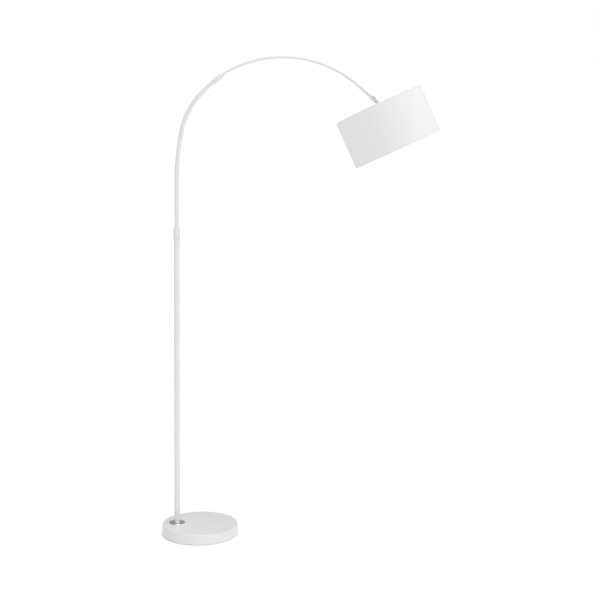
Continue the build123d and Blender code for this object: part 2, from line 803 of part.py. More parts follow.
with BuildPart() as shade_ring:
    ring(head_axis.offset(shade_ring_top), 2 * shade_ring_radius,
         2 * (skirt_radius + seated), shade_ring_height)
    with BuildSketch(head_axis.offset(shade_ring_top + grip_start)) as grip_section:
        with PolarLocations(shade_ring_radius, grip_count):
            Circle(grip_radius)
    extrude(grip_section.sketch, amount=shade_ring_height, mode=Mode.SUBTRACT)
save(shade_ring, "shade_ring")

shade_radius = shade_diameter / 2
wire_gap = 0.2
wire_centre = shade_radius - shade_wall - wire_gap - shade_wire / 2
top_wire = shade_below_pivot + shade_wire / 2 + loose
bottom_wire = shade_below_pivot + shade_height - shade_wire / 2 - loose
hub_outer = 29.0
hub_overlap = 2.0
arm_knee = wire_centre - 26.0
arm_bend = 14.0
spider_arms = 3
spider_turn = 30.0
spider_level = fitter_height + hub_gap + hub_thickness / 2


def spider_route(angle):
    """One spider arm: out from the hub, then up to the top wire."""
    way = Vector(0, 1, 0).rotate(Axis((0, 0, 0), shade_way), angle)
    points = ((hub_outer - hub_overlap, spider_level), (arm_knee, spider_level), (wire_centre, top_wire))
    places = [pivot + way * radius + shade_way * height for radius, height in points]
    with BuildLine() as route:
        FilletPolyline(*places, radius=arm_bend)
    return route.line


with BuildPart() as shade_fitter:
    ring(head_axis.offset(fitter_height + hub_gap), 2 * hub_outer, holder_diameter + 1, hub_thickness)
    torus(head_axis, top_wire, wire_centre, shade_wire)
    for spider_index in range(spider_arms):
        along(spider_route(spider_turn + spider_index * 360 / spider_arms), spider_wire)
save(shade_fitter, "shade_fitter")

with BuildPart() as shade_bottom_wire:
    torus(head_axis, bottom_wire, wire_centre, shade_wire)
save(shade_bottom_wire, "shade_bottom_wire")

with BuildPart() as shade_drum:
    ring(head_axis.offset(shade_below_pivot), shade_diameter, shade_diameter - 2 * shade_wall,
         shade_height)
save(shade_drum, "shade_drum")


def shade_trim(edge, inward):
    """Tape folded over one edge of the drum; inward points into the drum."""
    outer = shade_radius + seated
    with BuildPart() as trim:
        turned(head_axis, [
            (shade_radius - shade_wall, edge - inward * seated),
            (outer, edge - inward * seated),
            (outer, edge + inward * trim_height),
            (outer + trim_thickness, edge + inward * trim_height),
            (outer + trim_thickness, edge - inward * (seated + trim_thickness)),
            (shade_radius - shade_wall, edge - inward * (seated + trim_thickness)),
        ])
    return trim


save(shade_trim(shade_below_pivot, 1), "shade_top_trim")
save(shade_trim(shade_below_pivot + shade_height, -1), "shade_bottom_trim")

# ================================================================ BULB
cap_radius = bulb_cap_diameter / 2
bulb_radius = bulb_diameter / 2
tip_length = 1.5
tip_diameter = 9.0
insulator_radius = 5.5
insulator_length = 3.5
cap_length = 21.0
cap_sheet = 0.5
cap_chamfer = 1.0
insulator_end = tip_height + tip_length + insulator_length
cap_end = insulator_end + cap_length
board_height = tip_height + 57.0
globe_end = tip_height + bulb_length
globe_centre = globe_end - bulb_radius
globe_wall = 1.2
housing_wall = 1.6

with BuildPart() as bulb_contact:
    ring(head_axis.offset(tip_height), tip_diameter, 0, tip_length)
save(bulb_contact, "bulb_contact")

with BuildPart() as bulb_insulator:
    turned(head_axis, [
        (0, tip_height + tip_length),
        (insulator_radius, tip_height + tip_length),
        (cap_radius - cap_chamfer, insulator_end),
        (0, insulator_end),
    ])
save(bulb_insulator, "bulb_insulator")

with BuildPart() as bulb_cap:
    turned(head_axis, [
        (0, insulator_end),
        (cap_radius - cap_chamfer, insulator_end),
        (cap_radius, insulator_end + 1.5 * cap_chamfer),
        (cap_radius, cap_end),
        (cap_radius - cap_sheet, cap_end),
        (cap_radius - cap_sheet, insulator_end + 2 * cap_sheet),
        (0, insulator_end + 2 * cap_sheet),
    ])
save(bulb_cap, "bulb_cap")

housing_join = 1.0
housing_insert = 6.0
housing_neck = 8.0
board_play = 1.2
housing_rim = bulb_radius - 0.6
board_thickness = 1.6

with BuildPart() as bulb_housing:
    turned(head_axis, [
        (cap_radius - cap_sheet - seated, cap_end - housing_insert),
        (cap_radius - cap_sheet - seated, cap_end + 0.2),
        (cap_radius + housing_join, cap_end + 0.2),
        (cap_radius + housing_join + housing_wall, cap_end + housing_neck),
        (housing_rim - 3.5, board_height - 8),
        (housing_rim, board_height + 2),
        (housing_rim - housing_wall, board_height + 2),
        (housing_rim - housing_wall - 3.2, board_height - 7.5),
        (cap_radius + 0.8, cap_end + 8.6),
        (cap_radius - cap_sheet - housing_wall, cap_end + 1),
        (cap_radius - cap_sheet - housing_wall, cap_end - housing_insert),
    ])
save(bulb_housing, "bulb_housing")

with BuildPart() as led_board:
    ring(head_axis.offset(board_height + 0.2), 2 * (housing_rim - housing_wall - board_play), 0,
         board_thickness)
save(led_board, "led_board")

globe_bottom = board_height + 2 + seated
globe_drop = globe_centre - globe_bottom

with BuildPart() as bulb_globe:
    globe_side = Plane(origin=pivot, x_dir=head_axis.x_dir, z_dir=-head_axis.y_dir)
    with BuildSketch(globe_side) as globe_section:
        with Locations((0, globe_centre)):
            Circle(bulb_radius)
            Circle(bulb_radius - globe_wall, mode=Mode.SUBTRACT)
        with Locations((0, globe_bottom)):
            Rectangle(4 * bulb_radius, 4 * bulb_radius, align=(Align.CENTER, Align.MAX),
                      mode=Mode.SUBTRACT)
            Rectangle(4 * bulb_radius, 4 * bulb_radius, align=(Align.MAX, Align.CENTER),
                      mode=Mode.SUBTRACT)
    revolve(globe_section.sketch, axis=Axis(pivot, shade_way))
save(bulb_globe, "bulb_globe")

# ================================================================ FLEX
flex_gap = 0.3
mouth_gap = 0.8
mouth_run = 24.0
mouth_bend = 20.0
mouth = grommet_way * (base_radius - cover_wall - grommet_tail - mouth_gap)
mouth = mouth + Vector(0, 0, grommet_height)
turn_in = mouth - grommet_way * mouth_run
under_pole = Vector(-pole_offset, 0, grommet_height)
run_way = (under_pole - turn_in).normalized()

with BuildLine() as stand_flex_route:
    FilletPolyline(mouth, turn_in, under_pole, Vector(-pole_offset, 0, flex_slack_bottom),
                   radius=[mouth_bend, flex_bend])

with BuildPart() as flex_stand:
    along(stand_flex_route.line, flex_diameter)
save(flex_stand, "flex_stand")

tail_flex = 10.0
arm_flex_bottom = tail_height - tail_flex
flex_join = 2.0

with BuildPart() as flex_slack:
    ring(pole_plane(flex_slack_bottom + flex_gap), flex_diameter, 0,
         arm_flex_bottom - flex_slack_bottom - 2 * flex_gap)
save(flex_slack, "flex_slack")

with BuildLine(Plane.XZ) as arm_flex_route:
    flex_rise = Line((-pole_offset, arm_flex_bottom), (-pole_offset, lean_start))
    flex_lean = JernArc(flex_rise @ 1, flex_rise % 1, lean_radius, -lean_turn)
    flex_curve = JernArc(flex_lean @ 1, flex_lean % 1, bend_radius, -bend_turn)
    Line(stub_start, stub_start + stub_way * flex_join)

with BuildPart() as flex_lower_arm:
    along(arm_flex_route.line, flex_diameter)
save(flex_lower_arm, "flex_lower_arm")

pivot_gap = 3.5

with BuildLine(Plane.XZ) as arc_flex_route:
    flex_inserted = Line(stub_start + stub_way * (flex_join + flex_gap),
                         stub_start + stub_way * upper_straight)
    flex_ease = JernArc(flex_inserted @ 1, flex_inserted % 1, ease_radius, -ease_turn)
    flex_arc = JernArc(flex_ease @ 1, flex_ease % 1, arc_radius, -arc_turn)
    Line(drop_start, drop_start + drop_way * (arm_drop - pivot_gap))

with BuildPart() as flex_upper_arm:
    along(arc_flex_route.line, flex_diameter)
save(flex_upper_arm, "flex_upper_arm")

flex_end = 28.0

with BuildPart() as flex_head:
    ring(head_axis.offset(pivot_gap), flex_diameter, 0, flex_end - pivot_gap)
save(flex_head, "flex_head")

core_diameter = 1.8
core_start = 1.2

with BuildPart() as lead_wires:
    for side in (1, -1):
        core_points = ((core_start, flex_end + 0.1), (core_start, 30.5),
                       (terminal_spread - 1, 31.6), (terminal_spread, 33.3))
        core_places = [pivot + Vector(0, side * across, 0) + shade_way * height
                       for across, height in core_points]
        with BuildLine() as core_route:
            FilletPolyline(*core_places, radius=1)
        along(core_route.line, core_diameter)
save(lead_wires, "lead_wires")

# ---------------------------------------------------------------- flex clamp under the weight
clamp_block_width = 22.0
clamp_block_length = 8.0
clamp_screw_spread = 7.5
clamp_screw = 3.0
clamp_floor = 2.0
clamp_distance = 50.0
clamp_bottom = grommet_height - flex_diameter / 2 - clamp_floor
clamp_middle = turn_in + run_way * clamp_distance
clamp_side = Plane(origin=Vector(clamp_middle.X, clamp_middle.Y, clamp_bottom),
                   x_dir=run_way, z_dir=(0, 0, 1))

with BuildPart() as flex_clamp:
    with BuildSketch(clamp_side) as clamp_section:
        RectangleRounded(clamp_block_length, clamp_block_width, clamp_floor)
        with Locations((0, clamp_screw_spread), (0, -clamp_screw_spread)):
            Circle(clamp_screw / 2, mode=Mode.SUBTRACT)
    extrude(clamp_section.sketch, amount=web_bottom - clamp_bottom)
    flex_centre = Plane(origin=clamp_middle, x_dir=(0, 0, 1), z_dir=run_way)
    ring(flex_centre.offset(-clamp_block_length), flex_diameter + 2 * seated, 0,
         2 * clamp_block_length, Mode.SUBTRACT)
save(flex_clamp, "flex_clamp")

clamp_screw_head = 1.6

with BuildPart() as flex_clamp_screws:
    with BuildSketch(clamp_side.offset(-clamp_screw_head)) as clamp_heads:
        with Locations((0, clamp_screw_spread), (0, -clamp_screw_spread)):
            Circle(clamp_screw)
    extrude(clamp_heads.sketch, amount=clamp_screw_head)
    with BuildSketch(clamp_side) as clamp_shanks:
        with Locations((0, clamp_screw_spread), (0, -clamp_screw_spread)):
            Circle(clamp_screw / 2 - seated)
    extrude(clamp_shanks.sketch, amount=web_bottom - clamp_bottom)
save(flex_clamp_screws, "flex_clamp_screws")
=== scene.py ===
"""Looks of the arc floor lamp: satin white steel, chrome foot and knuckle, a laminated fabric drum shade.

Metres, in the CAD frame: the base stands on Z = 0 and the arm reaches towards +X in the XZ plane.
"""

import json
from math import acos, atan2, ceil, cos, hypot, pi, radians, sin

import bmesh
import bpy
from mathutils import Matrix, Vector


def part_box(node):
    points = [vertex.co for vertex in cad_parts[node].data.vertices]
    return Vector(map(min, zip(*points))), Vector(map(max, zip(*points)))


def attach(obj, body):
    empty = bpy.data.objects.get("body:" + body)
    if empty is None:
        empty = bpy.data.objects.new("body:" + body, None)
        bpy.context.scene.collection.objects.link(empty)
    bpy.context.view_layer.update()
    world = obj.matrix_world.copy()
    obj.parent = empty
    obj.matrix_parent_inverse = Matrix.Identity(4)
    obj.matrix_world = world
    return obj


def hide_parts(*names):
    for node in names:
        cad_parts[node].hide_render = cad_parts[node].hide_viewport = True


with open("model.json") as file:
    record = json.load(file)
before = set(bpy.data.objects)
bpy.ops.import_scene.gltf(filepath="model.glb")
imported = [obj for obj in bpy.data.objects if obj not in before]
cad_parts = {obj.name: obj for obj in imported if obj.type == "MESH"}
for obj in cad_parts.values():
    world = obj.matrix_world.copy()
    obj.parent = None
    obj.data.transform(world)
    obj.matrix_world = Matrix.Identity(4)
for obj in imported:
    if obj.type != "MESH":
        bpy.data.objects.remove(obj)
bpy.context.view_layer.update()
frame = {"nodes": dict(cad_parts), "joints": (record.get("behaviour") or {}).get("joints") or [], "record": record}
scene = bpy.context.scene
joints = {joint["name"]: joint for joint in frame["joints"]}
MM = 0.001


# ---------------------------------------------------------------- places, from the frame
def place_at(origin, way):
    """Frame at origin with its Z along way and its Y along the world's."""
    z = Vector(way).normalized()
    y = Vector((0, 1, 0))
    place = Matrix((y.cross(z), y, z)).transposed().to_4x4()
    place.translation = Vector(origin)
    return place


class Reach:
    """How far a CAD node goes about a place's Z: radii and heights."""

    def __init__(self, node, place):
        inverse = place.inverted()
        points = [inverse @ vertex.co for vertex in frame["nodes"][node].data.vertices]
        spans = [hypot(point.x, point.y) for point in points]
        self.inner, self.outer = min(spans), max(spans)
        self.low, self.high = min(p.z for p in points), max(p.z for p in points)


ground = Matrix.Identity(4)
pole = Matrix.Translation((joints["arm_swivel"]["pos_m"][0], 0, 0))
collar = place_at(joints["arc_clamp_turn"]["pos_m"], joints["arc_clamp_turn"]["axis"])
head = place_at(joints["shade_tilt"]["pos_m"], joints["bulb_draw"]["axis"])

# The arm's bends, as radius and turn
LEAN = (1120 * MM, 9.4)
BEND = (313 * MM, 41.4)
EASE = (190 * MM, 10.4)
ARC = (441 * MM, 68.7)
STRAIGHT_IN_ARM, STUB = 215 * MM, 22 * MM
UPPER_START, UPPER_STRAIGHT, UPPER_DROP = 4 * MM, 51.3 * MM, 78.2 * MM

# Sizes that several pieces share
FITTER_DROP = 34 * MM
EDISON_PITCH = 3.6 * MM
WIRE_GAP = 0.3 * MM
arm_end_heading = radians(90 - LEAN[1] - BEND[1] - EASE[1] - ARC[1])
yoke = place_at(joints["shade_tilt"]["pos_m"], (cos(arm_end_heading), 0, sin(arm_end_heading)))


# ---------------------------------------------------------------- mesh helpers
def finished(name, verts, faces, sharp=32):
    """Object from points and faces, with doubles merged, faces outward and its sharp edges marked."""
    mesh = bpy.data.meshes.new(name)
    mesh.from_pydata(verts, [], faces)
    shape = bmesh.new()
    shape.from_mesh(mesh)
    bmesh.ops.remove_doubles(shape, verts=shape.verts, dist=1e-7)
    bmesh.ops.dissolve_degenerate(shape, edges=shape.edges, dist=1e-8)
    bmesh.ops.recalc_face_normals(shape, faces=shape.faces)
    shape.to_mesh(mesh)
    shape.free()
    mesh.shade_smooth()
    mesh.set_sharp_from_angle(angle=radians(sharp))
    obj = bpy.data.objects.new(name, mesh)
    scene.collection.objects.link(obj)
    return obj


def rounded(outline, radius, steps=4, loop=True):
    """Outline with its corners rounded; a corner on the axis or of under 12 degrees stays."""
    out = []
    count = len(outline)
    for i, corner in enumerate(outline):
        here = Vector(corner)
        before = Vector(outline[i - 1]) - here
        after = Vector(outline[(i + 1) % count]) - here
        ends = not loop and i in (0, count - 1)
        if ends or here.x < 1e-6 or before.angle(after, 0) > radians(168):
            out.append(tuple(here))
            continue
        trim = min(radius, 0.45 * before.length, 0.45 * after.length)
        first = here + before.normalized() * trim
        last = here + after.normalized() * trim
        for k in range(steps + 1):
            t = k / steps
            out.append(tuple(first * (1 - t) ** 2 + here * 2 * t * (1 - t) + last * t**2))
    return out


def turned(name, place, outline, segments=96, shape=None, loop=True):
    """Mesh turned about the place's Z, with even segments or at listed angles.

    shape(angle, radius, height) may move each point.
    """
    angles = segments if isinstance(segments, list) else [2 * pi * i / segments for i in range(segments)]
    verts, faces = [], []
    count = len(outline)
    for angle in angles:
        for radius, height in outline:
            if shape:
                radius, height = shape(angle, radius, height)
            verts.append(place @ Vector((radius * cos(angle), radius * sin(angle), height)))
    for i in range(len(angles)):
        here, there = i * count, (i + 1) % len(angles) * count
        for j in range(count if loop else count - 1):
            k = (j + 1) % count
            faces.append((here + j, there + j, there + k, here + k))
    return finished(name, verts, faces)


def shell(name, place, outer, inner, low, high, edge, segments=96):
    """Plain tube with softened rims."""
    outline = [(inner, low), (outer, low), (outer, high), (inner, high)]
    return turned(name, place, rounded(outline, edge), segments)


def band(path, thickness):
    """Closed outline of a strip of the given thickness on the left of a path."""
    points = [Vector(p) for p in path]
    far = []
    for i, point in enumerate(points):
        way = points[min(i + 1, len(points) - 1)] - points[max(i - 1, 0)]
        side = Vector((-way.y, way.x)).normalized()
        far.append(tuple(point + side * thickness))
    return [tuple(p) for p in points] + far[::-1]


def arc_points(centre, radius, start, end, steps):
    """Points on an arc, angles in degrees."""
    spread = [radians(start + (end - start) * i / steps) for i in range(steps + 1)]
    return [(centre[0] + radius * cos(a), centre[1] + radius * sin(a)) for a in spread]


def threaded(pitch, depth, low, high, core):
    """Shape for turned(): a round thread between two heights on every point further out than core."""
    run_out = pitch * 0.8

    def shape(angle, radius, height):
        if radius < core or not low <= height <= high:
            return radius, height
        fade = min(1, (height - low) / run_out, (high - height) / run_out)
        wave = 0.5 - 0.5 * cos(2 * pi * (height / pitch - angle / (2 * pi)))
        return radius - depth * wave * fade, height

    return shape


def rows(radius, low, high, step):
    """Points up a wall at even steps, for a thread to shape."""
    count = ceil((high - low) / step)
    return [(radius, low + (high - low) * i / count) for i in range(count + 1)]


def bent(start, heading, runs):
    """Points and ways along runs in the XZ plane: a length, or a radius with a clockwise turn."""
    x, z = start
    out = [(x, z, heading)]
    for run in runs:
        if isinstance(run, tuple):
            radius, turn = run
            steps = ceil(turn / 0.8)
            for _ in range(steps):
                before, heading = heading, heading - radians(turn) / steps
                x += radius * (sin(before) - sin(heading))
                z += radius * (cos(heading) - cos(before))
                out.append((x, z, heading))
        else:
            x += run * cos(heading)
            z += run * sin(heading)
            out.append((x, z, heading))
    return out


def swept(name, route, outer, inner, sides=48, edge=0.3 * MM):
    """Tube along a planar route, with softened rims."""
    trims = [(0.0, edge), (edge, 0.0)]
    loops = []
    first, last = route[0], route[-1]
    for back, less in trims:
        loops.append((first, back, outer - less))
    for point in route[1:-1]:
        loops.append((point, 0.0, outer))
    for back, less in trims[::-1]:
        loops.append((last, -back, outer - less))
    loops.append((last, 0.0, inner))
    for point in route[-2:0:-1]:
        loops.append((point, 0.0, inner))
    loops.append((first, 0.0, inner))
    verts, faces = [], []
    for (x, z, heading), along, radius in loops:
        middle = Vector((x + along * cos(heading), 0, z + along * sin(heading)))
        out = Vector((-sin(heading), 0, cos(heading)))
        for i in range(sides):
            angle = 2 * pi * i / sides
            verts.append(middle + out * radius * cos(angle) + Vector((0, radius * sin(angle), 0)))
    count = len(loops)
    for i in range(count):
        here, there = i * sides, (i + 1) % count * sides
        for j in range(sides):
            k = (j + 1) % sides
            faces.append((here + j, here + k, there + k, there + j))
    return finished(name, verts, faces)


def wire(name, places, radius, bend, sides=24):
    """Round wire through places, its corners bent to a radius, with round ends."""
    line = [Vector(places[0])]
    for i in range(1, len(places) - 1):
        before = (places[i - 1] - places[i]).normalized()
        after = (places[i + 1] - places[i]).normalized()
        half = acos(max(-1, min(1, before.dot(after)))) / 2
        reach = bend / (sin(half) / cos(half))
        first, last = places[i] + before * reach, places[i] + after * reach
        for k in range(9):
            t = k / 8
            line.append(first * (1 - t) ** 2 + places[i] * 2 * t * (1 - t) + last * t**2)
    line.append(Vector(places[-1]))
    verts, faces = [], []
    way = (line[1] - line[0]).normalized()
    side = way.orthogonal().normalized()
    rings = []
    for i, point in enumerate(line):
        way = (line[min(i + 1, len(line) - 1)] - line[max(i - 1, 0)]).normalized()
        side = (side - way * side.dot(way)).normalized()
        rings.append((point, side, way.cross(side), radius))
    for end, sign in ((0, -1), (-1, 1)):
        point, side, other, _ = rings[end]
        way = side.cross(other)
        caps = [(point + way * sign * radius * sin(a), side, other, radius * cos(a))
                for a in (pi / 6, pi / 3, 0.47 * pi)]
        rings = caps[::-1] + rings if end == 0 else rings + caps
    for point, side, other, size in rings:
        for i in range(sides):
            angle = 2 * pi * i / sides
            verts.append(point + side * size * cos(angle) + other * size * sin(angle))
    for i in range(len(rings) - 1):
        for j in range(sides):
            k = (j + 1) % sides
            faces.append((i * sides + j, i * sides + k, (i + 1) * sides + k, (i + 1) * sides + j))
    faces.append(tuple(range(sides)))
    faces.append(tuple((len(rings) - 1) * sides + i for i in range(sides)))
    return finished(name, verts, faces)


def blob(name, middle, way, width, height, squeeze=0.6):
    """Weld bead: a lumpy flattened drop along way."""
    outline = [(width * sin(a), -height * cos(a)) for a in (i * pi / 12 for i in range(13))]
    place = Matrix.Translation(middle) @ Vector(way).to_track_quat("Z", "Y").to_matrix().to_4x4()

    def lumps(angle, radius, level):
        flat = 1 if abs(cos(angle)) < 0.7 else squeeze**0.5
        return radius * (1 + 0.10 * sin(3 * angle + 900 * level)) * flat, level

    return turned(name, place, outline, 32, lumps, loop=False)


def cut(obj, cutter):
    """Takes the cutter's shape out of obj, and removes the cutter."""
    modifier = obj.modifiers.new("cut", "BOOLEAN")
    modifier.operation = "DIFFERENCE"
    modifier.solver = "EXACT"
    modifier.object = cutter
    bpy.context.view_layer.update()
    result = bpy.data.meshes.new_from_object(obj.evaluated_get(bpy.context.evaluated_depsgraph_get()))
    obj.modifiers.clear()
    obj.data = result
    obj.data.shade_smooth()
    obj.data.set_sharp_from_angle(angle=radians(32))
    bpy.data.objects.remove(cutter)
    return obj


# ---------------------------------------------------------------- material helpers
class Finish:
    """A material under construction, with short calls for its nodes."""

    def __init__(self, name, color, roughness, **constants):
        self.material = bpy.data.materials.new(name)
        self.material.use_nodes = True
        self.tree = self.material.node_tree
        self.shader = self.tree.nodes["Principled BSDF"]
        self.shader.inputs["Base Color"].default_value = (*color, 1)
        self.shader.inputs["Roughness"].default_value = roughness
        self.color, self.roughness = color, roughness
        for socket, value in constants.items():
            self.shader.inputs[socket.replace("_", " ")].default_value = value
        self.spot = self.tree.nodes.new("ShaderNodeTexCoord").outputs["Object"]
        self.height = None

    def node(self, kind, inputs=(), **settings):
        made = self.tree.nodes.new(kind)
        for key, value in settings.items():
            setattr(made, key, value)
        for key, value in dict(inputs).items():
            if isinstance(value, bpy.types.NodeSocket):
                self.tree.links.new(value, made.inputs[key])
            else:
                made.inputs[key].default_value = value
        return made

    def noise(self, scale, detail=3.0, rough=0.5, stretch=(1, 1, 1)):
        """Noise in object space, features of about 1 / scale metres."""
        spot = self.node("ShaderNodeMapping", {"Vector": self.spot, "Scale": stretch}).outputs[0]
        made = self.node("ShaderNodeTexNoise", {"Vector": spot, "Scale": scale, "Detail": detail,
                                                "Roughness": rough})
        return made.outputs["Fac"]

    def cells(self, scale):
        """Distance to the nearest cell centre."""
        made = self.node("ShaderNodeTexVoronoi", {"Vector": self.spot, "Scale": scale})
        return made.outputs["Distance"]

    def math(self, operation, first, second=0.0):
        return self.node("ShaderNodeMath", {0: first, 1: second}, operation=operation).outputs[0]

    def ranged(self, value, low, high, start=0.3, stop=0.7):
        made = self.node("ShaderNodeMapRange", {"Value": value, "From Min": start, "From Max": stop,
                                                "To Min": low, "To Max": high})
        return made.outputs["Result"]

    def tint(self, value, spread, warm=(1, 1, 1)):
        """Base colour that varies with value by the share spread, towards the tone warm."""
        low = [c * (1 - spread) * w for c, w in zip(self.color, warm)]
        high = [min(1, c * (1 + spread)) for c in self.color]
        mixed = self.node("ShaderNodeMix", {0: value, 6: (*low, 1), 7: (*high, 1)}, data_type="RGBA")
        self.tree.links.new(mixed.outputs[2], self.shader.inputs["Base Color"])
        return self

    def gloss(self, value, low, high):
        """Roughness between low and high by value."""
        self.tree.links.new(self.ranged(value, low, high), self.shader.inputs["Roughness"])
        return self

    def bump(self, height, depth, strength=1.0):
        """Relief of the given depth in metres."""
        made = self.node("ShaderNodeBump", {"Height": height, "Distance": depth, "Strength": strength})
        if self.height:
            self.tree.links.new(self.height, made.inputs["Normal"])
        self.height = made.outputs["Normal"]
        self.tree.links.new(self.height, self.shader.inputs["Normal"])
        return self


def powder_coat(name, color, roughness):
    """Satin powder coat: fine orange peel, faint cloudiness and a few dust nibs."""
    made = Finish(name, color, roughness, Coat_Weight=0.15, Coat_Roughness=0.3)
    peel = made.noise(900, 2.0)
    made.tint(made.noise(14, 2.0), 0.012, (1, 0.998, 0.994))
    made.gloss(made.noise(60, 3.0), roughness - 0.05, roughness + 0.06)
    made.bump(peel, 0.00005, 0.5)
    nibs = made.math("LESS_THAN", made.cells(260), 0.06)
    return made.bump(nibs, 0.00002, 0.2).material


def plated(name, color, roughness, smear=0.05):
    """Bright plating: polishing lines and faint handling marks in its gloss."""
    made = Finish(name, color, roughness, Metallic=1.0)
    made.tint(made.noise(45, 3.0), 0.03)
    made.gloss(made.noise(130, 5.0, 0.7), roughness, roughness + smear)
    lines = made.noise(500, 2.0, 0.5, (1, 1, 9))
    return made.bump(lines, 0.000012, 0.35).material


def zinc_plated(name, color):
    """Dull blue-white zinc with crystal spangle and turning marks."""
    made = Finish(name, color, 0.35, Metallic=1.0)
    made.tint(made.cells(420), 0.10, (0.97, 1.0, 1.04))
    made.gloss(made.noise(300, 4.0), 0.26, 0.46)
    return made.bump(made.noise(1500, 2.0, 0.5, (1, 1, 6)), 0.00003, 0.5).material


def cast_iron(name, color):
    """Sand-cast surface under thin primer."""
    made = Finish(name, color, 0.75, Metallic=0.2)
    made.tint(made.noise(120, 6.0, 0.7), 0.35, (1.15, 0.95, 0.85))
    made.gloss(made.noise(400, 4.0), 0.6, 0.9)
    made.bump(made.noise(320, 8.0, 0.7), 0.0006, 0.8)
    return made.bump(made.cells(900), 0.0002, 0.4).material


def foam(name, color):
    """Closed-cell foam: small burst cells on a skived face, darker in the cells' pits as painted shade."""
    made = Finish(name, color, 0.95, Sheen_Weight=0.1)
    # Colour follows the same cell distance as the bump below: painted shade darkens the burst cells' pits.
    made.tint(made.cells(1300), 0.30)
    made.bump(made.cells(1300), 0.0004, 0.9)
    return made.bump(made.noise(200, 4.0), 0.0002, 0.4).material


def moulded(name, color, roughness, grain=1400, depth=0.00004, subsurface=0.0):
    """Moulded plastic with a fine spark-eroded grain and slight flow marks."""
    made = Finish(name, color, roughness, Subsurface_Weight=subsurface, Subsurface_Scale=0.002,
                  Subsurface_Radius=(1, 1, 1))
    made.tint(made.noise(35, 2.0), 0.015, (1, 0.997, 0.985))
    made.gloss(made.noise(180, 3.0), roughness - 0.05, roughness + 0.07)
    return made.bump(made.noise(grain, 3.0, 0.6), depth, 0.6).material


def glazed(name, color):
    """Glazed steatite: glassy, with pinholes."""
    made = Finish(name, color, 0.12, Coat_Weight=0.5, Coat_Roughness=0.05)
    made.tint(made.noise(220, 5.0, 0.6), 0.04, (1, 0.985, 0.95))
    made.gloss(made.noise(90, 3.0), 0.08, 0.2)
    pits = made.math("LESS_THAN", made.cells(700), 0.07)
    made.bump(made.noise(150, 3.0), 0.00008, 0.4)
    return made.bump(pits, -0.00005, 0.4).material


def spun_brass(name, color):
    """Rolled brass with drawing lines and light tarnish."""
    made = Finish(name, color, 0.28, Metallic=1.0)
    made.tint(made.noise(160, 6.0, 0.65), 0.16, (0.92, 0.86, 0.8))
    made.gloss(made.noise(420, 4.0), 0.2, 0.42)
    return made.bump(made.noise(1800, 2.0, 0.5, (1, 1, 12)), 0.00003, 0.5).material


def frosted(name, color):
    """Opal diffuser: smooth, slightly translucent."""
    made = Finish(name, color, 0.32, Subsurface_Weight=0.35, Subsurface_Scale=0.004,
                  Subsurface_Radius=(1, 1, 1))
    made.tint(made.noise(25, 2.0), 0.01)
    made.gloss(made.noise(120, 3.0), 0.28, 0.4)
    return made.bump(made.noise(2200, 2.0), 0.00002, 0.4).material


def woven(name, color, pitch, slub, sheen, depth):
    """Plain weave in the UV map's metres: threads over and under, with thicker and thinner yarn; the colour
    darkens where the relief is low, as painted shade in the gaps between threads.
    """
    made = Finish(name, color, 0.88, Sheen_Weight=sheen, Sheen_Roughness=0.5)
    uv = made.node("ShaderNodeUVMap", uv_map="weave").outputs[0]
    parts = made.node("ShaderNodeSeparateXYZ", {0: uv})
    yarns = []
    for axis, stretch in ((0, (1, 0.035, 1)), (1, (0.035, 1, 1))):
        along = made.node("ShaderNodeMapping", {"Vector": uv, "Scale": stretch}).outputs[0]
        settings = {"Vector": along, "Scale": 0.6 / pitch, "Detail": 3.0}
        wander = made.node("ShaderNodeTexNoise", settings).outputs[0]
        turn = made.math("MULTIPLY", parts.outputs[axis], pi / pitch)
        turn = made.math("ADD", turn, made.ranged(wander, -slub, slub))
        wave = made.math("SINE", turn)
        yarns.append((wave, made.math("ABSOLUTE", wave), wander))
    (wave_u, warp, thick_u), (wave_v, weft, thick_v) = yarns
    over = made.math("GREATER_THAN", made.math("MULTIPLY", wave_u, wave_v), 0.0)
    chosen = made.node("ShaderNodeMix", {0: over, 2: warp, 3: weft}).outputs[0]
    yarn = made.node("ShaderNodeMix", {0: over, 2: thick_u, 3: thick_v}).outputs[0]
    both = made.math("ADD", made.math("MULTIPLY", chosen, 0.65), made.math("MULTIPLY", yarn, 0.35))
    cloud = made.noise(22, 2.0)
    # Colour follows the weave's relief: painted shade darkens the gaps between threads, while the yarn thickness
    # and the cloud add real tone.
    made.tint(made.math("ADD", made.math("MULTIPLY", both, 0.75), made.math("MULTIPLY", cloud, 0.25)),
              0.04)
    made.bump(both, depth, 0.7)
    return made.material


def floor_finish():
    """Pale, even studio floor."""
    made = Finish("floor", (0.8, 0.8, 0.8), 0.95, Specular_IOR_Level=0.1)
    made.shader.inputs["Emission Color"].default_value = (1, 1, 1, 1)
    made.shader.inputs["Emission Strength"].default_value = FLOOR_GLOW
    made.tint(made.noise(0.6, 2.0), 0.004)
    return made.material


# ---------------------------------------------------------------- finishes, one per material slot
WHITE = (0.79, 0.79, 0.788)
FLOOR_GLOW = 0.26

